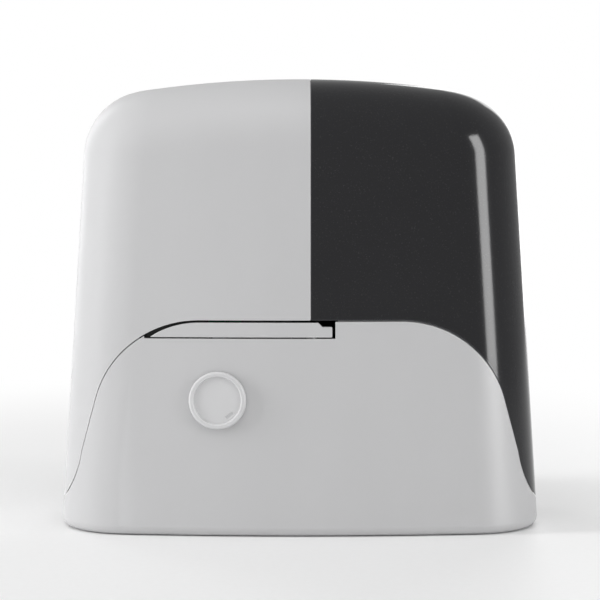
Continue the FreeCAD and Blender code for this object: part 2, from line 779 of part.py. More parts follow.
# --------------------------------------------------------------------- chassis
def chassis():
    """The die-cast floor that is bolted to the ground, with ribs, feet and a cable entry."""
    made = Made("chassis")
    inset = "base_wall + fit_gap + floor_thick * side_draft"
    drawn = draw_plan(made, inset, "0")
    plate = made.body.newObject("PartDesign::Pad", "chassis_plate")
    plate.Profile = drawn
    tie(plate, "Length", "floor_thick")
    holes = [(f"{x} * bolt_span_x / 2", f"{y} * bolt_span_y / 2", "bolt_hole_r") for x, y in CORNERS]
    made.pocket("XY", "-1", "floor_thick + 1", circles=holes)
    made.pocket("XY", "-1", "floor_thick + 1", circles=[("cable_x", "cable_y", "cable_hole_r")])
    screws = [(*at, "screw_r + 0.3") for at in tower_spots()]
    made.pocket("XY", "-1", "floor_thick + 1", circles=screws)
    made.pocket("XY", "-1", "screw_head_tall + 0.4", circles=[(*at, "screw_head_r + 0.4") for at in tower_spots()])
    gear_bolts = [(*at, "foot_bolt_r + fit_gap") for at in gear_foot_spots()]
    made.pocket("XY", "-1", "floor_thick + 1", circles=gear_bolts)
    return node(made, "chassis")


def gear_foot_spots():
    left, right = "shaft_x - 38", f"{WORM_X} + 18"
    return [(left, "-20"), (left, "32"), (right, "-32"), (right, "32")]


def shell_screws():
    screws = []
    for index, at in enumerate(tower_spots()):
        head = cylinder(f"shell_head{index}", "z", at, "screw_head_r", "0.3", "0.3 + screw_head_tall")
        shank = cylinder(f"shell_shank{index}", "z", at, "screw_r", "0.3", "tower_top - 4")
        screws.append(fuse(f"shell_screw{index}", head, shank))
    node(together("shell_screws", *screws), "shell_screws")


# --------------------------------------------------------------------- gearbox
def gearbox():
    """The cast case: a drum for the worm wheel, a tunnel for the worm, feet and a motor flange."""
    made = Made("gearbox_housing")
    foot_top = "floor_thick + fit_gap + 10"
    floor = "floor_thick + fit_gap"
    tunnel = (f"{WORM_X} - tunnel_half", f"{WORM_X} + tunnel_half")
    made.pad("XZ", "case_front", "case_back", circles=[(*SHAFT, "case_r")])
    made.pad("XZ", "case_back", "case_back + big_race_thick + 3", circles=[(*SHAFT, "big_race_r + 6")])
    made.pad("XZ", "-1 * tunnel_half", "tunnel_half",
             [rectangle(("shaft_x", tunnel[1]), (floor, "tunnel_top"))])
    foot = rectangle(("shaft_x - 42", tunnel[1]), ("case_front", "case_back"))
    made.pad("XY", floor, foot_top, [foot])
    ear = rectangle((f"{WORM_X} + 10", f"{WORM_X} + 26"), ("-38", "38"))
    made.pad("XY", floor, foot_top, [ear])
    made.pad("XY", "tunnel_top - 8", "motor_low - fit_gap", circles=[(*WORM, "motor_r - 6")])
    pad_y = ("case_back - 14", "case_back")
    made.pad("XY", "shaft_z + case_r - 8", "limit_z - 14",
             [rectangle(("shaft_x - 14", "shaft_x + 14"), pad_y)])
    made.pocket("XZ", "case_front - 1", "case_back - case_wall", circles=[(*SHAFT, "case_r - case_wall")])
    made.pocket("XZ", "case_back - case_wall - 1", "case_back", circles=[(*SHAFT, "seat_r + 3")])
    made.pocket("XZ", "case_back - 1", "case_back + big_race_thick + 4",
                circles=[(*SHAFT, "big_race_r")])
    made.pocket("XY", f"{floor} + 4", "motor_low + 1", circles=[(*WORM, "tunnel_half - case_wall")])
    bolts = [(*at, "foot_bolt_r") for at in gear_foot_spots()]
    made.pocket("XY", f"{floor} - 1", f"{foot_top} + 1", circles=bolts)
    made.pocket("XZ", "case_front - 1", "case_front + 12",
                circles=[(*spot, "screw_r + run_gap") for spot in lid_screw_spots()])
    return node(made, "gearbox_housing")


def gearbox_bolts():
    """Four bolts that hold the gearbox's feet down on the chassis."""
    seat = "floor_thick + fit_gap + 10"
    bolts = []
    for index, at in enumerate(gear_foot_spots()):
        head = cylinder(f"foot_bolt_head{index}", "z", at, "foot_bolt_r + 1.8", seat, f"{seat} + 2.2")
        shank = cylinder(f"foot_bolt_shank{index}", "z", at, "foot_bolt_r - run_gap", "1", seat)
        bolts.append(fuse(f"foot_bolt{index}", head, shank))
    node(together("gearbox_bolts", *bolts), "gearbox_bolts")


def lid_screw_spots():
    reach = "(case_r - case_wall / 2)"
    return [(f"shaft_x + {reach} * cos({angle})", f"shaft_z + {reach} * sin({angle})")
            for angle in (45, 135, 225, 315)]


def gearbox_lid():
    made = Made("gearbox_lid")
    front = "case_front - lid_thick"
    made.pad("XZ", front, "case_front - fit_gap / 10", circles=[(*SHAFT, "case_r")])
    made.pad("XZ", f"{front} - 10", front, circles=[(*SHAFT, "ball_race_r + 5")])
    made.pocket("XZ", "case_front - ball_race_thick", "case_front + 1", circles=[(*SHAFT, "ball_race_r")])
    made.pocket("XZ", f"{front} - 11", "case_front", circles=[(*SHAFT, "shaft_r + 2")])
    made.pocket("XZ", f"{front} - 1", "case_front + 1",
                circles=[(*spot, "screw_r + 0.3") for spot in lid_screw_spots()])
    return node(made, "gearbox_lid")


def lid_screws():
    screws = []
    head = ("case_front - lid_thick - screw_head_tall", "case_front - lid_thick")
    for index, at in enumerate(lid_screw_spots()):
        screws.append(fuse(f"lid_screw{index}",
                           cylinder(f"lid_head{index}", "y", at, "screw_head_r", *head),
                           cylinder(f"lid_shank{index}", "y", at, "screw_r", head[1], "case_front + 10")))
    node(together("lid_screws", *screws), "lid_screws")


def gear_gap(made, module, teeth, slack, low, high):
    """The gap between two involute teeth, cut once and repeated round the blank."""
    module_now, teeth_now, slack_now = num(module), num(teeth), num(slack)
    pressure = math.radians(20)
    pitch_r = module_now * teeth_now / 2
    base_r = pitch_r * math.cos(pressure)
    root_r = pitch_r - 1.25 * module_now
    tip_r = pitch_r + 1.15 * module_now

    def half_gap(radius):
        lean = math.acos(min(1, base_r / radius))
        grown = math.tan(lean) - lean
        flat = math.tan(pressure) - pressure
        tooth = math.pi / (2 * teeth_now) + flat - grown - slack_now / (2 * pitch_r)
        return math.pi / teeth_now - tooth

    def spot(radius, side):
        angle = half_gap(max(radius, base_r)) * side
        x, y = radius * math.cos(angle), radius * math.sin(angle)
        return f"{x / module_now:.7f} * {module}", f"{y / module_now:.7f} * {module}"

    flank_r = max(base_r, root_r)
    middle_r = (flank_r + tip_r) / 2
    points = [
        (*spot(flank_r, -1), *spot(middle_r, -1)),
        spot(tip_r, -1),
        (*spot(tip_r, 1), *spot(middle_r, 1)),
        (*spot(flank_r, 1),),
    ]
    if root_r < base_r:
        bottom = (f"{root_r / module_now:.7f} * {module}", "0")
        points[3] = spot(flank_r, 1)
        points.append((*spot(root_r, 1), *bottom))
        points.append(spot(root_r, -1))
    gap = made.pocket("XY", low, high, [points])
    made.ring_of([gap], teeth)


def pinion():
    """The rack pinion: a bevelled blank with involute teeth and a keyed bore."""
    made = Made("pinion")
    tip = "pinion_module * (pinion_teeth / 2 + 1)"
    stop = "pinion_start + pinion_width"
    made.spin("Revolution", [
        ("shaft_r + run_gap", "pinion_start"), (f"{tip} - pinion_bevel", "pinion_start"),
        (tip, "pinion_start + pinion_bevel"), (tip, f"{stop} - pinion_bevel"),
        (f"{tip} - pinion_bevel", stop), ("shaft_r + run_gap", stop)])
    gear_gap(made, "pinion_module", "pinion_teeth", "0.1", "pinion_start - 1", f"{stop} + 1")
    key = rectangle(("-3.05", "3.05"), ("0", "shaft_r + 3"))
    made.pocket("XY", "pinion_start - 1", f"{stop} + 1", [key])
    place(made.body, "shaft_x", "0", "shaft_z", AXIS_TURN["y"])
    return node(made, "pinion")


def worm_wheel():
    made = Made("worm_wheel")
    tip = "wheel_module * (wheel_teeth / 2 + 1)"
    rim = "wheel_module * (wheel_teeth / 2 - 1.25) - 5"
    half = "wheel_half_width"
    made.spin("Revolution", [
        ("seat_r + run_gap", f"-1 * ({half}) - 5"), ("wheel_hub_r", f"-1 * ({half}) - 5"),
        ("wheel_hub_r", "-3"), (rim, "-3"), (rim, f"-1 * ({half})"), (tip, f"-1 * ({half})"),
        (tip, half), (rim, half), (rim, "3"), ("wheel_hub_r", "3"), ("wheel_hub_r", "wheel_hub_back"),
        ("seat_r + run_gap", "wheel_hub_back")])
    gear_gap(made, "wheel_module", "wheel_teeth", "0.8", f"-1 * ({half}) - 1", f"{half} + 1")
    notch = made.pocket("XY", "wheel_hub_back - dog_depth", "wheel_hub_back + 1",
                        [rectangle(("seat_r - 2", "wheel_hub_r + 2"), ("-4", "4"))])
    made.ring_of([notch], "3")
    place(made.body, "shaft_x", "0", "shaft_z", AXIS_TURN["y"])
    return node(made, "worm_wheel")


def output_shaft():
    """The stepped shaft: hollow at the front for the push rod, slotted for the clutch pin."""
    made = Made("output_shaft")
    bore = "rod_r + run_gap"
    bore_end = "sleeve_front + sleeve_thick / 2 + release_stroke + 8"
    tail = "pinion_start + pinion_width + 1"
    made.spin("Revolution", [
        (bore, "shaft_front"), ("shaft_r", "shaft_front"), ("shaft_r", "case_front + 0.5"),
        ("seat_r", "case_front + 0.5"), ("seat_r", "case_back + big_race_thick + 3.5"),
        ("shaft_r", "case_back + big_race_thick + 3.5"), ("shaft_r", tail), ("0", tail),
        ("0", bore_end), (bore, bore_end)])
    pin_y = "sleeve_front + sleeve_thick / 2"
    slot = rectangle(("-2.6", "2.6"), (f"{pin_y} - 2.9", f"{pin_y} + release_stroke + 2.9"))
    made.pocket("XZ", "-1 * seat_r - 1", "seat_r + 1", [slot])
    keyway = rectangle(("-3", "3"), ("shaft_r - 3", "shaft_r + 1"))
    made.pocket("XY", "pinion_start + 1", f"{tail} + 1", [keyway])
    place(made.body, "shaft_x", "0", "shaft_z", AXIS_TURN["y"])
    return node(made, "output_shaft")


def shaft_furniture():
    """Key, bearings, seal, wave spring, washer and end screw on the output shaft."""
    start, stop = "pinion_start + 1.5", "pinion_start + pinion_width - 0.5"
    node(box("shaft_key", ("shaft_x - 2.95", "shaft_x + 2.95"), (start, stop),
             ("shaft_z - shaft_r - 2.8", "shaft_z - shaft_r + 2.95")), "shaft_key")
    for name, bore, rim, front, thick in (
            ("front_bearing", "shaft_r", "ball_race_r", "case_front - ball_race_thick", "ball_race_thick"),
            ("rear_bearing", "seat_r", "big_race_r", "case_back + 0.3", "big_race_thick")):
        made = turned(name, [
            (f"{bore} + run_gap", front), (f"{bore} + 4", front), (f"{bore} + 4", f"{front} + 1"),
            (f"{rim} - 4", f"{front} + 1"), (f"{rim} - 4", front), (f"{rim} - run_gap", front),
            (f"{rim} - run_gap", f"{front} + {thick} - 0.1"), (f"{rim} - 4", f"{front} + {thick} - 0.1"),
            (f"{rim} - 4", f"{front} + {thick} - 1"), (f"{bore} + 4", f"{front} + {thick} - 1"),
            (f"{bore} + 4", f"{front} + {thick} - 0.1"), (f"{bore} + run_gap", f"{front} + {thick} - 0.1")],
            SHAFT)
        node(made, name)
    tail = "pinion_start + pinion_width + 1"
    node(ring("pinion_washer", SHAFT, "y", "4.2", "15", f"{tail} + 0.1", f"{tail} + 2.1"), "pinion_washer")
    node(turned("pinion_screw", [("0", f"{tail} + 0.05"), ("4.15", f"{tail} + 0.05"), ("4.15", f"{tail} + 2.2"),
                                 ("6.5", f"{tail} + 2.2"), ("6.5", f"{tail} + 5.2"), ("5.5", f"{tail} + 6"),
                                 ("0", f"{tail} + 6")], SHAFT), "pinion_screw")


def clutch():
    """The push rod, its cross pin and the dog sleeve that lets the worm wheel go."""
    nose = "release_y + cam_low_r + nose_gap"
    pin_y = "sleeve_front + sleeve_thick / 2"
    rod = Made("push_rod")
    rod.spin("Revolution", [("0", nose), ("1.2", nose), ("rod_r", f"{nose} + 4"),
                            ("rod_r", f"{pin_y} + 5"), ("0", f"{pin_y} + 5")])
    rod.pocket("XZ", "-10", "10", circles=[("0", pin_y, "2.5")])
    place(rod.body, "shaft_x", "0", "shaft_z", AXIS_TURN["y"])
    node(rod, "push_rod")
    node(cylinder("clutch_pin", "z", ("shaft_x", pin_y), "2.45", "shaft_z - sleeve_r + 1",
                  "shaft_z + sleeve_r - 1"), "clutch_pin")
    made = Made("clutch_sleeve")
    back = "sleeve_front + sleeve_thick"
    made.spin("Revolution", [("seat_r + run_gap", "sleeve_front"), ("sleeve_r", "sleeve_front"),
                             ("sleeve_r", back), ("seat_r + run_gap", back)])
    dog = made.pad("XY", "wheel_hub_back - dog_depth + 0.5", "sleeve_front + 1",
                   [rectangle(("seat_r + 0.8", "sleeve_r - 0.3"), ("-3.4", "3.4"))])
    made.ring_of([dog], "3")
    made.pocket("XZ", "-1 * sleeve_r - 1", "sleeve_r + 1", circles=[("0", pin_y, "2.5")])
    place(made.body, "shaft_x", "0", "shaft_z", AXIS_TURN["y"])
    node(made, "clutch_sleeve")


# --------------------------------------------------- output flange, seal, guard
def output_flange():
    """The zinc disc behind the pinion, with its spigot and the seal's seat."""
    made = turned("output_flange", [
        ("seal_r", f"{DISC_FRONT} - 9"), ("seal_r", "disc_back - 4"), ("seat_r + 2", "disc_back - 4"),
        ("seat_r + 2", "disc_back"), ("disc_r - 1", "disc_back"), ("disc_r", "disc_back - 1"),
        ("disc_r", f"{DISC_FRONT} + 0.1"), ("spigot_r", f"{DISC_FRONT} + 0.1"),
        ("spigot_r", "case_back + big_race_thick + 3.3"), ("big_race_r - 4", "case_back + big_race_thick + 3.3"),
        ("big_race_r - 4", f"{DISC_FRONT} - 9")], SHAFT)
    node(made, "output_flange")
    seal_front = f"{DISC_FRONT} - 8.5"
    node(turned("shaft_seal", [
        ("shaft_r + 0.06", seal_front), ("seal_r - run_gap", seal_front),
        ("seal_r - run_gap", f"{seal_front} + seal_thick - 1"), ("shaft_r + 3", f"{seal_front} + seal_thick - 1"),
        ("shaft_r + 3", f"{seal_front} + 2"), ("shaft_r + 0.06", f"{seal_front} + 2")], SHAFT), "shaft_seal")


def guard_outline(grow):
    half = f"guard_r - ({grow})"
    return [
        (f"shaft_x - ({half})", "shaft_z", "shaft_x", f"shaft_z - ({half})"),
        (f"shaft_x + ({half})", "shaft_z"), (f"shaft_x + ({half})", "guard_top"),
        (f"shaft_x - ({half})", "guard_top")]


def pinion_guard():
    """The moulded bucket round the pinion's lower half, with a screwdriver channel each side."""
    blank = Made("guard_blank")
    front = "disc_back + 0.3"
    blank.pad("XZ", front, "guard_back", [guard_outline("0")])
    far = num("guard_back") - 0.01
    low = num("guard_top") - 0.5

    def outer_rim(bound, edge):
        return bound.YMin > far and bound.ZMin < low

    blank.round_edges("guard_round", outer_rim)
    hollow = Made("guard_hollow")
    room = guard_outline("guard_wall")
    room[2] = (room[2][0], "guard_top + 10")
    room[3] = (room[3][0], "guard_top + 10")
    hollow.pad("XZ", f"{front} - 1", "guard_back - guard_wall", [room])
    tubes, channels, holes = [], [], []
    for index, sign in enumerate((1, -1)):
        def across(low_text, high_text):
            pair = span(low_text, high_text, sign)
            return (f"shaft_x + {pair[0]}", f"shaft_x + {pair[1]}")
        tubes.append(box(f"channel_wall{index}", across("channel_in - guard_wall", "guard_r - 1"),
                         (front, "guard_back - 1"),
                         ("channel_z - channel_half - guard_wall", "channel_z + channel_half + guard_wall")))
        channels.append(box(f"channel{index}", across("channel_in", "guard_r + 5"),
                            ("channel_start", "guard_back + 1"),
                            ("channel_z - channel_half", "channel_z + channel_half")))
        holes.append(cylinder(f"guard_hole{index}", "y", guard_spot(sign), "screw_r + 0.2",
                              "disc_back - 1", "channel_start + 1"))
    body = fuse("guard_body", cut("guard_bucket", blank.body, hollow.body),
                common("guard_tubes", fuse("channel_walls", *tubes), blank.body))
    return node(cut("pinion_guard", body, *channels, *holes), "pinion_guard")


def guard_spot(sign):
    return (f"shaft_x + {sign} * (channel_in + 4)", "channel_z")


def guard_screws():
    screws = []
    for index, sign in enumerate((1, -1)):
        at = guard_spot(sign)
        screws.append(fuse(f"guard_screw{index}",
                           cylinder(f"guard_head{index}", "y", at, "screw_head_r", "channel_start", "channel_start + screw_head_tall"),
                           cylinder(f"guard_shank{index}", "y", at, "screw_r", "disc_back + 0.1", "channel_start")))
    node(together("guard_screws", *screws), "guard_screws")


# -------------------------------------------------------------------- release
def release():
    """Lever, upright shaft and snail cam, held by a bracket in front of the gearbox."""
    spot = ("shaft_x", "release_y")
    lever_top = "joint_height - 0.6"
    stem = turned("release_shaft", [
        ("0", "arm_low_z - 5"), ("release_r", "arm_low_z - 5"), ("release_r", "arm_low_z + arm_thick + 0.3"),
        ("release_r + 1", "arm_low_z + arm_thick + 0.3"), ("release_r + 1", "arm_low_z + arm_thick + 3"),
        ("release_r", "arm_low_z + arm_thick + 3"), ("release_r", "lever_low + 6"), ("0", "lever_low + 6")],
        spot, "z")
    node(stem, "release_shaft")
    cam = Made("release_cam")
    low, high = "cam_low_r", "(cam_low_r + release_stroke)"
    middle = "(cam_low_r + release_stroke / 2)"

    def polar(radius, angle):
        return f"{radius} * cos({angle})", f"{radius} * sin({angle})"

    cam.pad("XY", "shaft_z - cam_half", "shaft_z + cam_half", [[
        (*polar(high, 0), *polar(middle, 45)), (*polar(low, 90), *polar(low, 195)),
        polar(low, 300), (*polar(high, 340), *polar(high, 350))]])
    cam.pocket("XY", "shaft_z - cam_half - 1", "shaft_z + cam_half + 1",
               circles=[("0", "0", "release_r + run_gap")])
    place(cam.body, *spot, "0")
    node(cam, "release_cam")
    outline = [
        ("lever_tip_x", "lever_low"), ("lever_end_x", "lever_low"), ("lever_end_x", f"{lever_top} - 2.6"),
        ("lever_end_x - 6", f"{lever_top} - 2.6"), ("lever_end_x - 8.5", lever_top),
        ("-1 * arch_x", lever_top, "-1 * arch_x / 2 + lever_tip_x / 2",
         f"{lever_top} - 0.24 * ({lever_top} - lever_low)")]
    bar = Made("lever_bar")
    bar.pad("XZ", "-1 * half_depth - 5", "release_y + 3", [outline])
    face = cut("lever_face", common("lever_front", outer_form, bar.body), form("lever_inside", "lever_thick"))
    hub = cylinder("lever_hub", "z", spot, "release_r + 3.6", "lever_low", f"{lever_top} - 3")
    hook_x = ("lock_x - 4", "lock_x + 4")
    hook = box("lever_hook", hook_x, ("release_y - 3.5", "release_y + 9"), ("lever_low + 2", "lever_low + 6"))
    catch = box("lever_catch", hook_x, ("release_y + 7", "release_y + 9"), ("lever_low", "lever_low + 6"))
    rough = common("lever_hub_in", fuse("lever_bits", hub, hook, catch), outer_form)
    whole = fuse("lever_whole", face, rough)
    bore = cylinder("lever_bore", "z", spot, "release_r + run_gap", "lever_low - 1", "lever_low + 6.2")
    node(cut("release_lever", whole, bore), "release_lever")
    bracket()


def bracket():
    made = Made("release_bracket")
    front = "case_front - lid_thick"
    made.pad("XZ", f"{front} - 3.2", f"{front} - 0.1",
             circles=[(*SHAFT, "case_r - 9"), (*SHAFT, "ball_race_r + 5.5")])
    nose = "release_y - release_r - 1.2"
    for level in ("arm_low_z", "arm_high_z"):
        arm = [("shaft_x - 22", f"{front} - 2"), ("shaft_x - release_r - 1.2", "release_y", "shaft_x", nose),
               ("shaft_x + release_r + 1.2", "release_y"), ("shaft_x + 22", f"{front} - 2")]
        made.pad("XY", level, f"{level} + arm_thick", [arm])
    made.pocket("XZ", f"{front} - 10.5", f"{front}", circles=[(*SHAFT, "ball_race_r + 5.3")])
    made.pocket("XY", "arm_low_z - 1", "arm_high_z + arm_thick + 1",
                circles=[("shaft_x", "release_y", "release_r + run_gap")])
    node(made, "release_bracket")


# ------------------------------------------------------------------------ lock
def lock():
    body = turned("lock_body", [
        ("plug_r + run_gap", f"{LOCK_SEAT} - 1.7"), ("lock_head_r", f"{LOCK_SEAT} - 1.7"),
        ("lock_head_r", LOCK_SEAT), ("lock_barrel_r", LOCK_SEAT), ("lock_barrel_r", "release_y + 3.5"),
        ("plug_r + run_gap", "release_y + 3.5")], LOCK)
    node(body, "lock_body")
    inner = f"{LOCK_FACE} + base_wall + 1.3"
    nut = Made("lock_nut")
    flat = [(f"16 * cos({angle})", f"16 * sin({angle})") for angle in range(0, 360, 60)]
    nut.pad("XY", inner, f"{inner} + 4.5", [flat])
    nut.pocket("XY", f"{inner} - 1", f"{inner} + 6", circles=[("0", "0", "lock_barrel_r + run_gap")])
    place(nut.body, "lock_x", "0", "lock_z", AXIS_TURN["y"])
    node(nut, "lock_nut")
    plug = Made("lock_plug")
    plug.spin("Revolution", [("0", f"{LOCK_SEAT} - 1.8"), ("plug_r", f"{LOCK_SEAT} - 1.8"),
                             ("plug_r", "release_y + 3.6"), ("plug_r - 2", "release_y + 3.6"),
                             ("plug_r - 2", "release_y + 7"), ("0", "release_y + 7")])
    plug.pocket("XY", f"{LOCK_SEAT} - 3", f"{LOCK_SEAT} + 6", [rectangle(("-3.6", "3.6"), ("-0.9", "0.9"))])
    place(plug.body, "lock_x", "0", "lock_z", AXIS_TURN["y"])
    node(plug, "lock_plug")
    cam = Made("lock_cam")
    tip = "lever_low - 0.5 - lock_z"
    cam.pad("XZ", "release_y + 3.8", "release_y + 6.3", [[
        ("lock_x - 7", "lock_z", "lock_x", "lock_z - 7"), ("lock_x + 7", "lock_z"),
        ("lock_x + 3.5", f"lock_z + {tip}"), ("lock_x - 3.5", f"lock_z + {tip}")]])
    cam.pocket("XZ", "release_y + 3", "release_y + 7", circles=[("lock_x", "lock_z", "plug_r - 2 + run_gap")])
    node(cam, "lock_cam")
    cap = Made("cap_disc")
    cap.spin("Revolution", [
        ("0", "1.3"), ("cap_r - 4", "1.3"), ("cap_r - 4", "0.35"), ("cap_r", "0.35"),
        ("cap_r", "cap_proud - 0.8"), ("cap_r - 0.8", "cap_proud"), ("cap_inner_r + 0.6", "cap_proud"),
        ("cap_inner_r", "cap_proud - cap_dish"), ("0", "cap_proud - cap_dish")])
    nail = [("4.2", "-10.4", "6.4", "-8.6"), ("8.6", "-7.4"), ("9.6", "-8.9", "7.6", "-10.3"), ("5.2", "-11.9")]
    cap.pocket("XY", "cap_proud - cap_dish - 0.5", "cap_proud", [nail])
    lock_spot(cap.body)
    node(fuse("cap_and_pin", cap.body, cap_pin("cap_pin", "cap_pin_r")), "lock_cap")


# ---------------------------------------------------------------- limit switch
def limit_switch():
    pivot = ("shaft_x", "limit_pivot_y")
    low, high = "limit_z - 13.5", "limit_z + 11"
    box_x = ("shaft_x - 20", "shaft_x + 20")
    case = Made("limit_box")
    case.pad("XY", low, high, [rectangle(box_x, ("limit_pivot_y - 18", "limit_pivot_y + 13"))])
    case.pocket("XY", f"{low} + 3", f"{high} + 1", [rectangle(("shaft_x - 17.5", "shaft_x + 17.5"),
                ("limit_pivot_y - 15.5", "limit_pivot_y + 10.5"))])
    case.pocket("XZ", "limit_pivot_y", "limit_pivot_y + 14",
                [rectangle(("shaft_x - 15", "shaft_x + 15"), ("limit_z - 6", "limit_z + 6"))])
    post = cylinder("limit_post", "z", pivot, "2", f"{low} + 2", f"{high} - 1.2")
    node(fuse("limit_case", case.body, post), "limit_housing")
    hub = cylinder("rod_hub", "z", pivot, "7", "limit_z - 6.5", "limit_z + 6.5")
    end = "limit_rod_end - limit_tip"
    bar = cylinder("rod_bar", "y", ("shaft_x", "limit_z"), "limit_rod_r", "limit_pivot_y", end)
    tail = box("rod_tail", ("shaft_x - 1.5", "shaft_x + 1.5"), ("limit_pivot_y - 12", "limit_pivot_y"),
               ("limit_z - 4", "limit_z + 4"))
    hole = cylinder("rod_pin_hole", "z", pivot, "2 + run_gap", "limit_z - 8", "limit_z + 8")
    node(cut("limit_rod", fuse("rod_whole", hub, bar, tail), hole), "limit_rod")
    tip = turned("limit_tip", [("0", f"{end} + 0.02"), ("limit_rod_r", f"{end} + 0.02"),
                               ("limit_rod_r", "limit_rod_end - 2.5", "limit_rod_r * 0.78", "limit_rod_end - 0.9"),
                               ("1.2", "limit_rod_end"), ("0", "limit_rod_end")], ("shaft_x", "limit_z"))
    node(tip, "limit_rod_tip")
    switches = []
    for index, sign in enumerate((1, -1)):
        pair = span("8.5", "14.5", sign)
        x = (f"shaft_x + {pair[0]}", f"shaft_x + {pair[1]}")
        body = box(f"switch_body{index}", x, ("limit_pivot_y - 15", "limit_pivot_y - 5"), ("limit_z - 9", "limit_z + 7"))
        press = span("7.2", "9", sign)
        press_x = (f"shaft_x + {press[0]}", f"shaft_x + {press[1]}")
        button = box(f"switch_button{index}", press_x, ("limit_pivot_y - 12", "limit_pivot_y - 10"), ("limit_z - 1", "limit_z + 1"))
        switches.append(fuse(f"microswitch{index}", body, button))
    node(together("microswitches", *switches), "microswitches")
    node(box("limit_lid", (f"{box_x[0]}", f"{box_x[1]}"), ("limit_pivot_y - 18", "limit_pivot_y + 13"),
             (f"{high} + 0.1", f"{high} + 2.1")), "limit_lid")


# ----------------------------------------------------------------------- motor
def motor():
    """Worm, its two bearings, the upright motor on the case's flange and its speed disc."""
    floor = "floor_thick + fit_gap"
    top = "motor_low + motor_tall + motor_cap"
    low_race = (f"{floor} + 4.3", f"{floor} + 13.3")
    high_race = ("tunnel_top - 7", "tunnel_top + 2")
    node(turned("worm_shaft", [
        ("0", f"{floor} + 5"), ("worm_journal_r", f"{floor} + 5"), ("worm_journal_r", f"{low_race[1]} + 0.5"),
        ("worm_root_r", f"{low_race[1]} + 0.5"), ("worm_root_r", f"{high_race[0]} - 0.5"),
        ("worm_journal_r", f"{high_race[0]} - 0.5"), ("worm_journal_r", "motor_low + 1"),
        ("5", "motor_low + 1"), ("5", f"{top} + 8"), ("0", f"{top} + 8")], WORM, "z"), "worm_shaft")
    races = [ring(f"worm_race{i}", WORM, "z", "worm_journal_r + run_gap", "tunnel_half - case_wall - run_gap", *pair)
             for i, pair in enumerate((low_race, high_race))]
    node(together("worm_bearings", *races), "worm_bearings")
    can = turned("motor_can", [
        ("8.2", "motor_low"), ("motor_r", "motor_low"), ("motor_r", "motor_low + motor_tall"),
        ("motor_r - 3", "motor_low + motor_tall"), ("motor_r - 3", "motor_low + 5"), ("8.2", "motor_low + 5")],
        WORM, "z")
    node(can, "motor_can")
    cap = turned("motor_end_cap", [
        ("5.05", f"{top} - 8"), ("motor_r - 3.2", f"{top} - 8"), ("motor_r - 3.2", "motor_low + motor_tall + 0.1"),
        ("motor_r", "motor_low + motor_tall + 0.1"), ("motor_r", f"{top} - 3"), ("motor_r - 3", top),
        ("5.05", top)], WORM, "z")
    node(cap, "motor_end_cap")
    node(ring("rotor", WORM, "z", "5.05", "motor_r - 8", "motor_low + 14", "motor_low + motor_tall - 12"), "rotor")
    disc = Made("encoder_disc")
    disc.pad("XY", f"{top} + 3", f"{top} + 4.5", circles=[("0", "0", "18"), ("0", "0", "5.05")])
    slot = disc.pocket("XY", f"{top} + 2", f"{top} + 6", [rectangle(("12", "16"), ("-1.2", "1.2"))])
    disc.ring_of([slot], "12")
    place(disc.body, *WORM, "0")
    node(disc, "encoder_disc")


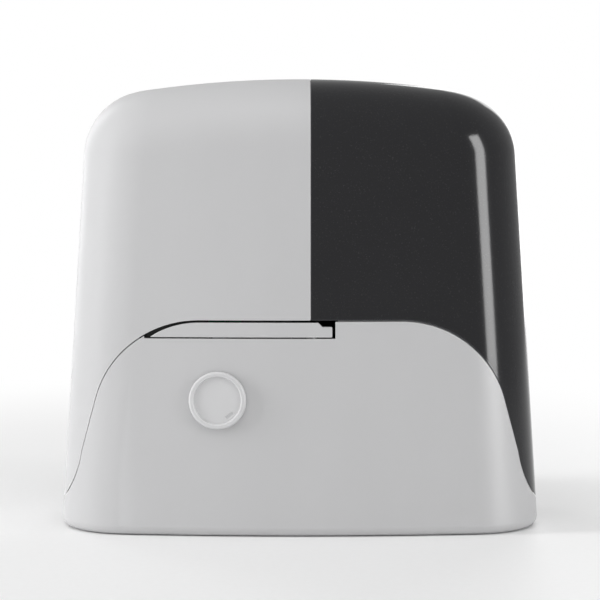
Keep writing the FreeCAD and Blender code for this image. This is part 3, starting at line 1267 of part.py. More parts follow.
# ----------------------------------------------------------------- electronics
def electronics():
    """The control board on its tray, and the transformer on the floor."""
    tray = Made("board_tray")
    back = "tray_y + tray_thick"
    tray.pad("XZ", "tray_y", back, [rectangle(("tray_left", "tray_right"), ("tray_low", "tray_top"))])
    for edge in ("tray_low", "tray_top - 2.5"):
        tray.pad("XZ", "tray_y - 9", "tray_y + 1", [rectangle(("tray_left", "tray_right"), (edge, f"{edge} + 2.5"))])
    legs = (("tray_left", "tray_left + 12"), ("shaft_x - case_r - 18", "shaft_x - case_r - 6"))
    for leg in legs:
        tray.pad("XZ", "tray_y", f"{back} + 3", [rectangle(leg, ("floor_thick + 0.1", "tray_low + 20"))])
    tray_window = rectangle(("tray_left + 24", "tray_right - 24"), ("tray_low + 26", "tray_top - 26"))
    tray.pocket("XZ", "tray_y - 1", f"{back} + 1", [tray_window])
    node(tray, "board_tray")
    front = "tray_y - standoff"
    left, right = "tray_left + board_margin", "tray_right - board_margin"
    low, high = "tray_low + board_margin", "tray_top - board_margin"
    corners = [(x, z) for x in (f"{left} + 5", f"{right} - 5") for z in (f"{low} + 5", f"{high} - 5")]
    board = Made("control_board")
    board.pad("XZ", f"{front} - board_thick", front, [rectangle((left, right), (low, high))])
    board.pocket("XZ", f"{front} - board_thick - 1", f"{front} + 1", circles=[(*at, "1.8") for at in corners])
    node(board, "control_board")
    posts = []
    for index, at in enumerate(corners):
        posts.append(fuse(f"board_post{index}",
                          cylinder(f"post{index}", "y", at, "3", f"{front} + 0.05", "tray_y - 0.05"),
                          cylinder(f"post_screw{index}", "y", at, "1.7", f"{front} - board_thick", f"{front} + 1"),
                          cylinder(f"post_head{index}", "y", at, "3", f"{front} - board_thick - 2", f"{front} - board_thick - 0.05")))
    node(together("board_posts", *posts), "board_posts")
    face = f"{front} - board_thick - 0.1"
    blocks = []
    for index in range(4):
        start = f"{left} + 13 + {index} * 19"
        block = Made(f"terminal{index}")
        block.pad("XZ", f"{face} - 10", face, [rectangle((start, f"{start} + 16"), (f"{low} + 2", f"{low} + 12"))])
        ways = [(f"{start} + {2 + 4 * way}", f"{low} + 7", "1.4") for way in range(4)]
        block.pocket("XZ", f"{face} - 11", f"{face} - 6", circles=ways)
        blocks.append(block.body)
    node(together("terminal_blocks", *blocks), "terminal_blocks")
    relay_z = (f"{high} - 24", f"{high} - 8")
    relays = [box(f"relay{i}", (f"{left} + {14 + 24 * i}", f"{left} + {34 + 24 * i}"), (f"{face} - 15", face), relay_z)
              for i in range(2)]
    node(together("relays", *relays), "relays")
    node(cylinder("capacitor", "y", (f"{right} - 17", f"{high} - 20"), "9", f"{face} - 22", face), "capacitor")
    node(box("display_window", (f"{left} + 54", f"{left} + 78"), (f"{face} - 6", face), (f"{low} + 22", f"{low} + 34")),
         "display_window")
    transformer()


def transformer():
    floor = "floor_thick + 0.1"
    x = ("trafo_x - trafo_wide / 2", "trafo_x + trafo_wide / 2")
    y = ("trafo_y - trafo_deep / 2", "trafo_y + trafo_deep / 2")
    core = Made("transformer_core")
    core.pad("XY", floor, f"{floor} + trafo_tall", [rectangle(x, (f"{y[0]} + 10", f"{y[1]} - 10"))])
    bottom, top = f"{floor} + 8", f"{floor} + trafo_tall - 8"
    for window in ((f"{x[0]} + 8", "trafo_x - 8"), ("trafo_x + 8", f"{x[1]} - 8")):
        core.pocket("XZ", f"{y[0]} + 9", f"{y[1]} - 9", [rectangle(window, (bottom, top))])
    node(core, "transformer_core")
    coil = Made("transformer_coil")
    gap = "0.3"
    coil.pad("XY", f"{bottom} + {gap}", f"{top} - {gap}",
             [rectangle((f"{x[0]} + 8 + {gap}", f"{x[1]} - 8 - {gap}"), y)])
    coil.pocket("XY", f"{bottom} - 1", f"{top} + 1",
                [rectangle((f"trafo_x - 8 - {gap}", f"trafo_x + 8 + {gap}"), (f"{y[0]} + 10 - {gap}", f"{y[1]} - 10 + {gap}"))])
    node(coil, "transformer_coil")
    strap = Made("transformer_strap")
    strap_y = (f"{y[0]} + 12", f"{y[1]} - 12")
    wide = (f"{x[0]} - 10", f"{x[1]} + 10")
    high = f"{floor} + trafo_tall"
    strap.pad("XZ", *strap_y, [[
        (wide[0], floor), (f"{x[0]} - 0.1", floor), (f"{x[0]} - 0.1", f"{high} + 0.1"), (f"{x[1]} + 0.1", f"{high} + 0.1"),
        (f"{x[1]} + 0.1", floor), (wide[1], floor), (wide[1], f"{floor} + 1.6"), (f"{x[1]} + 1.7", f"{floor} + 1.6"),
        (f"{x[1]} + 1.7", f"{high} + 1.7"), (f"{x[0]} - 1.7", f"{high} + 1.7"), (f"{x[0]} - 1.7", f"{floor} + 1.6"),
        (wide[0], f"{floor} + 1.6")]])
    node(strap, "transformer_strap")


base_shell()
chassis()
shell_screws()
cover_halves()
tongue_parts()
cover_clips()
gearbox()
gearbox_bolts()
gearbox_lid()
lid_screws()
output_shaft()
worm_wheel()
pinion()
shaft_furniture()
clutch()
output_flange()
pinion_guard()
guard_screws()
release()
lock()
limit_switch()
motor()
electronics()


# ----------------------------------------------------------------------- write
def check_and_write():
    doc.recompute()
    faults = []
    for thing in doc.Objects:
        if "Invalid" in thing.State or "Error" in thing.State:
            faults.append(f"{thing.Name}: {thing.State}")
        if thing.TypeId == "PartDesign::Pocket":
            before, after = thing.BaseFeature.Shape, thing.Shape
            if not after.isNull() and after.Volume > before.Volume - 0.01:
                faults.append(f"{thing.Name}: cuts nothing")
    for piece in NODES:
        if piece.Shape.isNull() or not piece.Shape.isValid() or piece.Shape.Volume < 1:
            faults.append(f"{piece.Label}: no valid shape")
    if faults:
        raise RuntimeError("; ".join(faults))
    os.makedirs("parts", exist_ok=True)
    for piece in NODES:
        piece.Shape.exportStep(f"parts/{piece.Label}.step")


check_and_write()
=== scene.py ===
"""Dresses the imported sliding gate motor: satin shells, glossy cover, lit strip, metal drive."""

import json
import math

import bmesh
import bpy
from bpy.props import FloatProperty, FloatVectorProperty, IntProperty, PointerProperty
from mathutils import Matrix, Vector

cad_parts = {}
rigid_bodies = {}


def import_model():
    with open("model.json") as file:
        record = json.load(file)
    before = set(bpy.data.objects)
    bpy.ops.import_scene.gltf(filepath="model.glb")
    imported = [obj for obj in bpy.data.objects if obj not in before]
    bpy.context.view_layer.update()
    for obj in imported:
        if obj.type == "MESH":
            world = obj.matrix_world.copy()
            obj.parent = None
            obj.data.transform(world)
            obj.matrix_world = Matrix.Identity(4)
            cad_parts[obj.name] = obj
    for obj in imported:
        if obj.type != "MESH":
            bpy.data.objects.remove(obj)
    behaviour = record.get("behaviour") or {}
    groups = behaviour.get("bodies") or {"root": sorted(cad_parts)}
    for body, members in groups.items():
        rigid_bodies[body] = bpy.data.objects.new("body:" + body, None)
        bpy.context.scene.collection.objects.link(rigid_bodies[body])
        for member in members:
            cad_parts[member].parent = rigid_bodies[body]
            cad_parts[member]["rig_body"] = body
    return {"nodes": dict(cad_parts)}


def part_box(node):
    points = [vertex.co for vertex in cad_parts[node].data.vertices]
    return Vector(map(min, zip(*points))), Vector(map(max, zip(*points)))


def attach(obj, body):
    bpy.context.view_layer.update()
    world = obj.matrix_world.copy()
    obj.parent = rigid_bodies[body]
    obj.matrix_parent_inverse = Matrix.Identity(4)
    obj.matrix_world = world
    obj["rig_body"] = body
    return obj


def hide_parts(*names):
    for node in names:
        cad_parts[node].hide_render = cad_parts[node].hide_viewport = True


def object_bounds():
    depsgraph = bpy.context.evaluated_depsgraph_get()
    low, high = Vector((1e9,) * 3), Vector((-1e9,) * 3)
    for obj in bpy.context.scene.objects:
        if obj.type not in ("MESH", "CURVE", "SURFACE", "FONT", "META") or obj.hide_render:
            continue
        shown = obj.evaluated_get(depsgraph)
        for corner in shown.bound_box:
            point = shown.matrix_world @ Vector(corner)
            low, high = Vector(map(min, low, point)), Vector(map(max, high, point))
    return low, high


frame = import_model()
NODES = frame["nodes"]
CAD_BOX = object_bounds()

bl_info = {
    "name": "Sliding gate motor finish",
    "version": (1, 0, 0),
    "blender": (4, 5, 0),
    "location": "View3D > Sidebar > Gate motor",
    "description": "Builds the visible pieces and finishes of a sliding gate motor",
    "category": "Object",
}

MM = 0.001
WELD = 2e-6  # places nearer than this are one
FLAT = math.radians(0.06)  # faces that meet at less than this are one
CREASE = math.radians(28)  # edges that turn by more than this are rounded
SHARP, PATTERN_SHARP = math.radians(50), math.radians(40)  # and by more than this stay sharp
# the shell's form, as in the CAD: an arched plan whose walls lean in, under a crowned top
HALF_LENGTH, HALF_DEPTH, HEIGHT = 151.5 * MM, 77 * MM, 280 * MM
END_DRAFT, SIDE_DRAFT = 0.0633, 0.0436
END_BULGE, SIDE_BULGE, CORNER = 350 * MM, 950 * MM, 46 * MM
CROWN, TOP_ROUND, FOOT = 700 * MM, 42 * MM, 6.5 * MM
WORM_PITCH = 3 * math.pi * MM
LEVER_STRETCH = 5.5 * MM
LEVER_CURVE = -62 * MM  # where the lever's top starts to fall towards its tip
SHEET = 0.7 * MM  # one plate of a laminated core
RECESS_SINK = 0.25 * MM
BARE_STEEL, SHAFT_STEEL, DARK_STEEL = (0.5, 0.5, 0.5), (0.5, 0.5, 0.49), (0.2, 0.21, 0.23)
BRIGHT_ZINC, BRONZE, BEIGE = (0.66, 0.68, 0.71), (0.6, 0.4, 0.17), (0.52, 0.46, 0.34)
ALLOY, COPPER = (0.5, 0.51, 0.52), (0.55, 0.22, 0.09)
RUBBER, SHADOW = (0.02, 0.02, 0.02), (0.02, 0.02, 0.022)
FORWARD, BACKWARD, UP, DOWN = (0, -1, 0), (0, 1, 0), (0, 0, 1), (0, 0, -1)
PARTS_KEPT = 0.45  # share of the board's places that carry a small part


def paint(red, green, blue):
    """A colour given in screen values from 0 to 255, as the linear values that a shader takes."""
    values = (red / 255, green / 255, blue / 255)
    return tuple(v / 12.92 if v <= 0.04045 else ((v + 0.055) / 1.055) ** 2.4 for v in values)


def middle(node):
    """The middle of a CAD node's box."""
    low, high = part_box(node)
    return (Vector(low) + Vector(high)) / 2


def reach(node):
    """The size of a CAD node's box."""
    low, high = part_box(node)
    return Vector(high) - Vector(low)


# ---------------------------------------------------------------- sizes and colours


class ShellLook(bpy.types.PropertyGroup):
    pale: FloatVectorProperty(
        name="Pale shell", description="Colour of the base and the left half of the cover",
        subtype="COLOR", size=3, min=0, max=1, default=paint(196, 196, 197))
    dark: FloatVectorProperty(
        name="Charcoal shell", description="Colour of the right half of the cover",
        subtype="COLOR", size=3, min=0, max=1, default=paint(36, 36, 38))
    rounding: FloatProperty(
        name="Edge rounding", description="Width of the small round on the shells' edges",
        unit="LENGTH", min=0.0001, max=0.002, default=0.5 * MM)
    glow: FloatProperty(
        name="Light strength", description="How strongly the lit strip shines",
        min=0, max=10, default=1.5)


class DriveLook(bpy.types.PropertyGroup):
    rounding: FloatProperty(
        name="Edge rounding", description="Width of the small round on metal edges",
        unit="LENGTH", min=0.00005, max=0.001, default=0.3 * MM)
    zinc: FloatVectorProperty(
        name="Zinc", description="Colour of the plated flange and screws",
        subtype="COLOR", size=3, min=0, max=1, default=(0.62, 0.66, 0.71))
    steel: FloatVectorProperty(
        name="Cut steel", description="Colour of the toothed wheels",
        subtype="COLOR", size=3, min=0, max=1, default=(0.46, 0.47, 0.45))
    guard: FloatVectorProperty(
        name="Guard", description="Colour of the guard round the pinion",
        subtype="COLOR", size=3, min=0, max=1, default=paint(178, 178, 180))
    worm_turns: FloatProperty(
        name="Worm turns", description="Turns of thread on the worm", min=2, max=6, default=4)


class InsideLook(bpy.types.PropertyGroup):
    board: FloatVectorProperty(
        name="Board", description="Colour of the lacquered control board",
        subtype="COLOR", size=3, min=0, max=1, default=paint(24, 92, 52))
    fins: IntProperty(
        name="Motor fins", description="Number of cooling fins round the motor",
        min=8, max=60, default=28)
    parts: IntProperty(
        name="Board parts", description="Rows of small parts on the control board",
        min=2, max=12, default=7)
    turns: IntProperty(
        name="Coil turns", description="Turns of wire that show along the transformer's coil",
        min=6, max=60, default=22)


# ---------------------------------------------------------------- node trees


class Value:
    """A socket that takes part in sums: each operator adds one Math node to its tree."""

    def __init__(self, graph, socket):
        self.graph, self.socket = graph, socket

    def _sum(self, operation, first, second=None):
        inputs = {0: first} if second is None else {0: first, 1: second}
        return self.graph.add("ShaderNodeMath", inputs, operation=operation)

    def __add__(self, other):
        return self._sum("ADD", self, other)

    __radd__ = __add__

    def __sub__(self, other):
        return self._sum("SUBTRACT", self, other)

    def __rsub__(self, other):
        return self._sum("SUBTRACT", other, self)

    def __mul__(self, other):
        return self._sum("MULTIPLY", self, other)

    __rmul__ = __mul__

    def __truediv__(self, other):
        return self._sum("DIVIDE", self, other)

    def __pow__(self, other):
        return self._sum("POWER", self, other)

    def __abs__(self):
        return self._sum("ABSOLUTE", self)

    def at_least(self, other):
        return self._sum("MAXIMUM", self, other)

    def at_most(self, other):
        return self._sum("MINIMUM", self, other)


class Graph:
    """A node tree that is built with one call for each node."""

    def __init__(self, tree):
        self.tree = tree

    def add(self, kind, inputs=None, output=0, **settings):
        node = self.tree.nodes.new(kind)
        for name, value in settings.items():
            setattr(node, name, value)
        for key, value in (inputs or {}).items():
            if isinstance(value, Value):
                self.tree.links.new(value.socket, node.inputs[key])
            else:
                node.inputs[key].default_value = value
        return Value(self, node.outputs[output])


class Finish(Graph):
    """A procedural material: its constants go on the shader, and what varies is linked to it."""

    def __init__(self, name, **constants):
        self.material = bpy.data.materials.new(name)
        self.material.use_nodes = True
        super().__init__(self.material.node_tree)
        self.shader = self.tree.nodes["Principled BSDF"]
        for key, value in constants.items():
            self.shader.inputs[key.replace("_", " ")].default_value = value
        self.place = self.add("ShaderNodeTexCoord", output=3)

    def parts(self, centre=(0, 0, 0)):
        """The three coordinates of a place, measured from a centre."""
        shifted = self.add("ShaderNodeMapping", {0: self.place, 1: [-c for c in centre]})
        split = self.tree.nodes.new("ShaderNodeSeparateXYZ")
        self.tree.links.new(shifted.socket, split.inputs[0])
        return [Value(self, split.outputs[i]) for i in range(3)]

    def noise(self, size, detail=2.0, place=None):
        inputs = {"Vector": place or self.place, "Scale": 1 / size, "Detail": detail}
        return self.add("ShaderNodeTexNoise", inputs)

    def stretched(self, size, stretch, detail):
        """Noise drawn out along the axes: a larger number in stretch packs the marks closer."""
        place = self.add("ShaderNodeMapping", {0: self.place, 3: stretch})
        return self.noise(size, detail, place)

    def cells(self, size, feature="F1"):
        inputs = {"Vector": self.place, "Scale": 1 / size}
        return self.add("ShaderNodeTexVoronoi", inputs, feature=feature)

    def wave(self, along, spacing):
        """A sine that swings once in each spacing."""
        return self.add("ShaderNodeMath", {0: along * (2 * math.pi / spacing)}, operation="SINE")

    def from_axis(self, centre, axis):
        """How far a place lies from an axis (0, 1 or 2) through a centre."""
        first, second = (part for index, part in enumerate(self.parts(centre)) if index != axis)
        return (first * first + second * second) ** 0.5

    def band(self, value, start, end):
        """0 below start and 1 above end, with a soft step between."""
        inputs = {0: value, 1: start, 2: end}
        return self.add("ShaderNodeMapRange", inputs, interpolation_type="SMOOTHSTEP")

    def blend(self, factor, first, second):
        inputs = {0: factor}
        for socket, colour in ((6, first), (7, second)):
            inputs[socket] = colour if isinstance(colour, Value) else (*colour, 1)
        return self.add("ShaderNodeMix", inputs, output=2, data_type="RGBA")

    def rim(self):
        """1 on the small rounds along a piece's edges."""
        return self.add("ShaderNodeAttribute", output=2, attribute_name="rim")

    def drive(self, **links):
        for key, value in links.items():
            self.tree.links.new(value.socket, self.shader.inputs[key.replace("_", " ")])

    def raise_by(self, height, depth, strength):
        """Gives the skin its relief, of a given depth in metres."""
        inputs = {"Height": height, "Distance": depth, "Strength": strength}
        self.drive(Normal=self.add("ShaderNodeBump", inputs))


def shade(colour, by):
    return tuple(min(1.0, c * by) for c in colour)


def moulded(name, colour, roughness, grain=0.7 * MM, relief=0.01 * MM, rim_light=1.12, sunk=None,
            **constants):
    """Moulded plastic: a fine skin, faint flow marks and slightly brighter edges, partly wear and
    partly a painted highlight.

    sunk gives where the plastic lies in a deep pocket, and there painted shade turns it nearly
    black.
    """
    finish = Finish(name, **constants)
    flow = finish.stretched(0.05, (1, 1, 0.35), 3)
    skin = finish.noise(grain, 2)
    base = finish.blend(flow, shade(colour, 0.965), shade(colour, 1.03))
    speck = finish.blend(skin * 0.12, base, shade(colour, 0.9))
    # the edge rounds are lighter: partly wear, partly a painted highlight
    worn_and_highlit = finish.blend(finish.rim() * 0.6, speck, shade(colour, rim_light))
    # where sunk is given, the pocket goes nearly black: painted shade
    finish.drive(
        Base_Color=finish.blend(sunk(finish), worn_and_highlit, shade(colour, 0.02)) if sunk else worn_and_highlit,
        Roughness=roughness * 0.86 + flow * (roughness * 0.18) + skin * (roughness * 0.1),
    )
    finish.raise_by(skin, relief, 0.35)
    return finish


def lever_pocket_shade(finish):
    """1 in the pocket behind the release lever, from just under the shell's skin inwards, where
    painted shade is laid.
    """
    x, y, z = finish.parts()
    low, high = (Vector(c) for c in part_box("release_lever"))
    depth = y + HALF_DEPTH - z * SIDE_DRAFT - x * x / (2 * SIDE_BULGE)
    inside = finish.band(depth, 0.7 * MM, 1.6 * MM) * (1 - finish.band(depth, 20 * MM, 24 * MM))
    sides = ((x, low.x - 14 * MM, high.x + 3 * MM), (z, low.z - 1.2 * MM, high.z + 4 * MM))
    for place, start, end in sides:
        inside = inside * finish.band(place, start, start + 0.5 * MM)
        inside = inside * (1 - finish.band(place, end, end + 1 * MM))
    return inside


def pale_shell(look):
    # the pocket behind the lever gets painted shade
    finish = moulded("pale_satin_plastic", look.pale, 0.42, 0.8 * MM, 0.012 * MM, 1.1, lever_pocket_shade,
                     Coat_Weight=0.12)
    finish.shader.inputs["Coat Roughness"].default_value = 0.3
    return finish.material


def dark_shell(look, name="charcoal_gloss_plastic"):
    """Polished charcoal plastic, with a trace of settled dust that dulls it in patches."""
    finish = Finish(name, IOR=1.36)
    flow, dust = finish.noise(0.07, 3), finish.noise(0.9 * MM, 3)
    film = finish.band(dust, 0.58, 0.75)
    base = finish.blend(flow, shade(look.dark, 0.93), shade(look.dark, 1.08))
    # the edge rounds are much lighter: a painted highlight, with a little wear
    worn_and_highlit = finish.blend(finish.rim() * 0.75, base, shade(look.dark, 3.2))
    finish.drive(
        Base_Color=finish.blend(film * 0.05, worn_and_highlit, (0.35, 0.35, 0.34)),
        Roughness=0.1 + flow * 0.05 + film * 0.06,
    )
    finish.raise_by(finish.noise(0.012, 2), 0.02 * MM, 0.25)
    return finish


def lit_panel(look):
    """The charcoal insert, with the strip's light spreading a short way into it."""
    finish = dark_shell(look, "charcoal_insert")
    lens_low, lens_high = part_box("light_lens")
    half = (lens_high[1] - lens_low[1]) / 2
    across = finish.parts(middle("light_lens"))[1]
    below = (finish.parts((0, 0, lens_low[2] + half))[2] * -1).at_least(0.0)
    away = (across * across + below * below) ** 0.5
    near = 1 - finish.band(away, half * 0.85, half * 2.3)
    start = finish.parts((lens_low[0], 0, 0))[0]
    spread = near * near * finish.band(start, -4 * MM, 6 * MM)
    finish.drive(Emission_Color=finish.blend(spread, (0, 0, 0), (0.9, 0.95, 1.0)))
    finish.shader.inputs["Emission Strength"].default_value = 0.32
    return finish.material


def lens(look):
    """Frosted diffuser: brightest along its middle and slightly cooler at its edges."""
    finish = Finish("frosted_light_strip", IOR=1.49, Coat_Weight=0.5, Coat_Roughness=0.1)
    across = abs(finish.parts(middle("light_lens"))[1]) / (reach("light_lens").y / 2)
    frost = finish.noise(0.5 * MM, 2)
    core = 1 - finish.band(across, 0.45, 1.1)
    finish.drive(
        Base_Color=finish.blend(frost, (0.86, 0.88, 0.9), (0.93, 0.94, 0.95)),
        Emission_Color=finish.blend(core, (0.6, 0.66, 0.74), (1.0, 1.0, 1.0)),
        Roughness=0.3 + frost * 0.15,
    )
    finish.shader.inputs["Emission Strength"].default_value = look.glow
    finish.raise_by(frost, 0.02 * MM, 0.3)
    return finish.material


def turned(name, colour, centre, axis, roughness=0.3, pitch=0.25 * MM):
    """Lathe-turned metal: fine rings round an axis, with a cloudy plated skin."""
    finish = Finish(name, Metallic=1.0)
    rings = finish.wave(finish.from_axis(centre, axis), pitch) * 0.5 + 0.5
    cloud, fleck = finish.noise(0.018, 4), finish.cells(2.4 * MM)
    base = finish.blend(cloud, shade(colour, 0.86), shade(colour, 1.08))
    spangle = finish.blend(fleck * 0.1, base, shade(colour, 1.25))
    # the edge rounds are lighter: partly wear, partly a painted highlight
    finish.drive(
        Base_Color=finish.blend(finish.rim() * 0.7, spangle, shade(colour, 1.3)),
        Roughness=roughness + cloud * 0.16 + rings * 0.05,
    )
    finish.raise_by(rings, 0.004 * MM, 0.5)
    return finish


def root_shaded_teeth(name, colour, centre, axis, root, tip):
    """Cut steel: bright at the tooth tips, with painted shade darkening it towards the roots."""
    finish = turned(name, colour, centre, axis, 0.34, 0.35 * MM)
    away = finish.from_axis(centre, axis)
    # painted shade, deepening from the tooth tips towards the roots
    root_shade = 1 - finish.band(away + finish.noise(3 * MM, 3) * (2.5 * MM), root, tip)
    base = finish.blend(root_shade * 0.62, shade(colour, 1.05), shade(colour, 0.34))
    # the edge rounds are lighter: partly wear, partly a painted highlight
    finish.drive(Base_Color=finish.blend(finish.rim() * 0.7, base, shade(colour, 1.45)))
    return finish.material


def ground(name, colour, roughness=0.28, stretch=(6, 6, 0.6)):
    """Ground bar: fine straight scratches along its length."""
    finish = Finish(name, Metallic=1.0)
    scratch, cloud = finish.stretched(2 * MM, stretch, 4), finish.noise(0.02, 3)
    base = finish.blend(cloud, shade(colour, 0.85), shade(colour, 1.06))
    # the edge rounds are lighter: partly wear, partly a painted highlight
    finish.drive(
        Base_Color=finish.blend(finish.rim() * 0.7, base, shade(colour, 1.3)),
        Roughness=roughness + scratch * 0.22,
    )
    finish.raise_by(scratch, 0.006 * MM, 0.4)
    return finish.material


def die_cast():
    """Die-cast alloy: dull sand-blasted skin with darker flow clouds."""
    finish = Finish("die_cast_alloy", Metallic=0.9)
    cloud, skin = finish.noise(0.025, 5), finish.noise(1.1 * MM, 4)
    base = finish.blend(cloud, shade(ALLOY, 0.72), shade(ALLOY, 1.1))
    # the edge rounds are lighter: partly wear, partly a painted highlight
    finish.drive(
        Base_Color=finish.blend(finish.rim() * 0.6, base, shade(ALLOY, 1.5)),
        Roughness=0.42 + cloud * 0.14 + skin * 0.12,
    )
    finish.raise_by(skin, 0.09 * MM, 0.5)
    return finish.material


def enamel(name, colour, roughness=0.4):
    """Satin enamel over steel, with a light orange-peel skin."""
    finish = Finish(name, Metallic=0.0, Coat_Weight=0.2, Coat_Roughness=0.25)
    peel, cloud = finish.noise(2.2 * MM, 2), finish.noise(0.03, 3)
    base = finish.blend(cloud, shade(colour, 0.85), shade(colour, 1.25))
    # the edge rounds are much lighter: partly wear, partly a painted highlight
    finish.drive(
        Base_Color=finish.blend(finish.rim() * 0.6, base, shade(colour, 3)),
        Roughness=roughness + peel * 0.12,
    )
    finish.raise_by(peel, 0.06 * MM, 0.5)
    return finish.material


def circuit(look):
    """Lacquered board: fine paler tracks between cells, and small tinned pads."""
    finish = Finish("lacquered_circuit_board", Coat_Weight=0.6, Coat_Roughness=0.12)
    tracks = 1 - finish.band(finish.cells(5.5 * MM, "DISTANCE_TO_EDGE"), 0.03, 0.06)
    pads = 1 - finish.band(finish.cells(3.1 * MM), 0.14, 0.2)
    base = finish.blend(tracks, look.board, shade(look.board, 1.9))
    finish.drive(
        Base_Color=finish.blend(pads, base, (0.66, 0.66, 0.62)),
        Metallic=pads * 0.9,
        Roughness=0.42 - pads * 0.12,
    )
    finish.raise_by(tracks + pads, 0.05 * MM, 0.6)
    return finish.material


def wound(axis, pitch):
    """Enamelled copper wire laid in close turns along an axis."""
    finish = Finish("coil_copper", Metallic=0.85, Coat_Weight=0.4, Coat_Roughness=0.2)
    turns = abs(finish.wave(finish.parts()[axis], 2 * pitch))
    finish.drive(
        Base_Color=finish.blend(turns, shade(COPPER, 0.35), COPPER),
        Roughness=0.3 + finish.noise(4 * MM) * 0.15,
    )
    finish.raise_by(turns, 0.3 * MM, 0.8)
    return finish.material


def laminated(name="laminated_core", axis=1):
    """Stacked core sheets: thin dark joints between grey steel plates."""
    finish = Finish(name, Metallic=0.8)
    joints = finish.band(abs(finish.wave(finish.parts()[axis], 2 * SHEET)), 0.1, 0.5)
    cloud = finish.noise(0.01, 4)
    plate = finish.blend(cloud, (0.16, 0.16, 0.17), (0.26, 0.26, 0.27))
    finish.drive(
        Base_Color=finish.blend(joints, (0.05, 0.05, 0.05), plate),
        Roughness=0.5 + cloud * 0.2,
    )
    finish.raise_by(joints, 0.08 * MM, 0.7)
    return finish.material


# ---------------------------------------------------------------- meshes


def joined(node):
    """A CAD node's triangles as one closed skin, with its flat faces made whole."""
    skin = bmesh.new()
    skin.from_mesh(NODES[node].data)
    bmesh.ops.remove_doubles(skin, verts=skin.verts, dist=WELD)
    bmesh.ops.dissolve_limit(skin, angle_limit=FLAT, verts=skin.verts, edges=skin.edges)
    return skin


def eased(skin, width):
    """Rounds the outer edges of a skin and marks the new faces as its rim."""
    rim = skin.faces.layers.float.new("rim")
    edges = [e for e in skin.edges
             if len(e.link_faces) == 2 and e.is_convex and e.calc_face_angle(0) > CREASE
             and e.calc_length() > width * 0.5]
    if edges:
        made = bmesh.ops.bevel(skin, geom=edges, offset=width, offset_type="OFFSET", segments=2,
                               profile=0.5, affect="EDGES", clamp_overlap=False)
        for face in made["faces"]:
            face[rim] = 1
    return skin


def smoothed(skin, mesh, sharp):
    """Writes a skin to a mesh with smooth faces, and a crease where it turns more than sharp."""
    for face in skin.faces:
        face.smooth = True
    for edge in skin.edges:
        edge.smooth = len(edge.link_faces) == 2 and edge.calc_face_angle(0) < sharp
    skin.to_mesh(mesh)
    skin.free()


def settled(name, skin, material):
    """Makes a piece from a skin, with smooth faces and clean creases."""
    mesh = bpy.data.meshes.new(name)
    smoothed(skin, mesh, SHARP)
    mesh.materials.append(material)
    piece = bpy.data.objects.new(name, mesh)
    bpy.context.scene.collection.objects.link(piece)
    return piece


def weigh(piece):
    """Flat faces keep flat highlights, and only the rounds between them turn."""
    weights = piece.modifiers.new("weights", "WEIGHTED_NORMAL")
    weights.keep_sharp = True
    weights.weight = 80
    freeze(piece)


def freeze(piece):
    """Applies a piece's modifiers to its mesh."""
    evaluated = piece.evaluated_get(bpy.context.evaluated_depsgraph_get())
    mesh = bpy.data.meshes.new_from_object(evaluated)
    piece.modifiers.clear()
    piece.data = mesh


def plan_offset(x, y, z):
    """How far a place lies outside the shell's plan at its height, and which way is out."""
    side = HALF_DEPTH - z * SIDE_DRAFT - SIDE_BULGE
    end = HALF_LENGTH - z * END_DRAFT - END_BULGE
    across, along = abs(x), abs(y)
    # the corner arc's centre lies where the inset side arc and end arc cross
    side_in, end_in = SIDE_BULGE - CORNER, END_BULGE - CORNER
    gap = math.hypot(end, side)
    base = (side_in ** 2 - end_in ** 2 + gap ** 2) / (2 * gap)
    height = math.sqrt(side_in ** 2 - base ** 2)
    toward = (end / gap, -side / gap)
    corner_x = base * toward[0] + height * toward[1]
    corner_y = side + base * toward[1] - height * toward[0]
    for centre, radius, inside in (
        ((0.0, side), SIDE_BULGE, across * (corner_y - side) <= corner_x * (along - side)),
        ((end, 0.0), END_BULGE, along * (corner_x - end) <= corner_y * (across - end)),
        ((corner_x, corner_y), CORNER, True),
    ):
        if inside:
            out = Vector((across - centre[0], along - centre[1], 0))
            break
    distance = out.length - radius
    out.normalize()
    slope = out.x * out.x * END_DRAFT + out.y * out.y * SIDE_DRAFT
    normal = Vector((math.copysign(out.x, x), math.copysign(out.y, y), slope)).normalized()
    return distance * normal.xy.length, normal


def skin_normal(place):
    """The shell's own direction at a place: drafted wall, crown, or the round between them."""
    wall, wall_out = plan_offset(*place)
    crown_out = Vector((place.x, 0, place.z - HEIGHT + CROWN))
    crown = crown_out.length - CROWN
    crown_out.normalize()
    u, v = (wall + TOP_ROUND) / TOP_ROUND, (crown + TOP_ROUND) / TOP_ROUND
    k = wall_out.dot(crown_out)
    on_wall, on_crown = u - k * v, v - k * u
    if on_crown <= 0:
        return wall_out
    if on_wall <= 0:
        return crown_out
    return (wall_out * on_wall + crown_out * on_crown).normalized()


def even(piece):
    """Shades the shell's skin by its true form, so that highlights run straight over the facets."""
    mesh = piece.data
    result = [Vector(corner.vector) for corner in mesh.corner_normals]
    true = {}
    for face in mesh.polygons:
        for loop in face.loop_indices:
            vertex = mesh.loops[loop].vertex_index
            if vertex not in true:
                true[vertex] = skin_normal(mesh.vertices[vertex].co)
            if mesh.vertices[vertex].co.z > FOOT and true[vertex].dot(face.normal) > 0.8:
                result[loop] = true[vertex]
    mesh.normals_split_custom_set(result)


def finished(piece, body):
    """Ties a new piece to its body."""
    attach(piece, body)


def dressed(node, material, width, broad=False):
    """A CAD node with eased edges, its skin shaded and its finish on. It stands for the node."""
    piece = settled(node + "_piece", eased(joined(node), width), material)
    if broad:
        even(piece)
    else:
        weigh(piece)
    finished(piece, NODES[node]["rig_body"])
    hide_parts(node)
    return piece


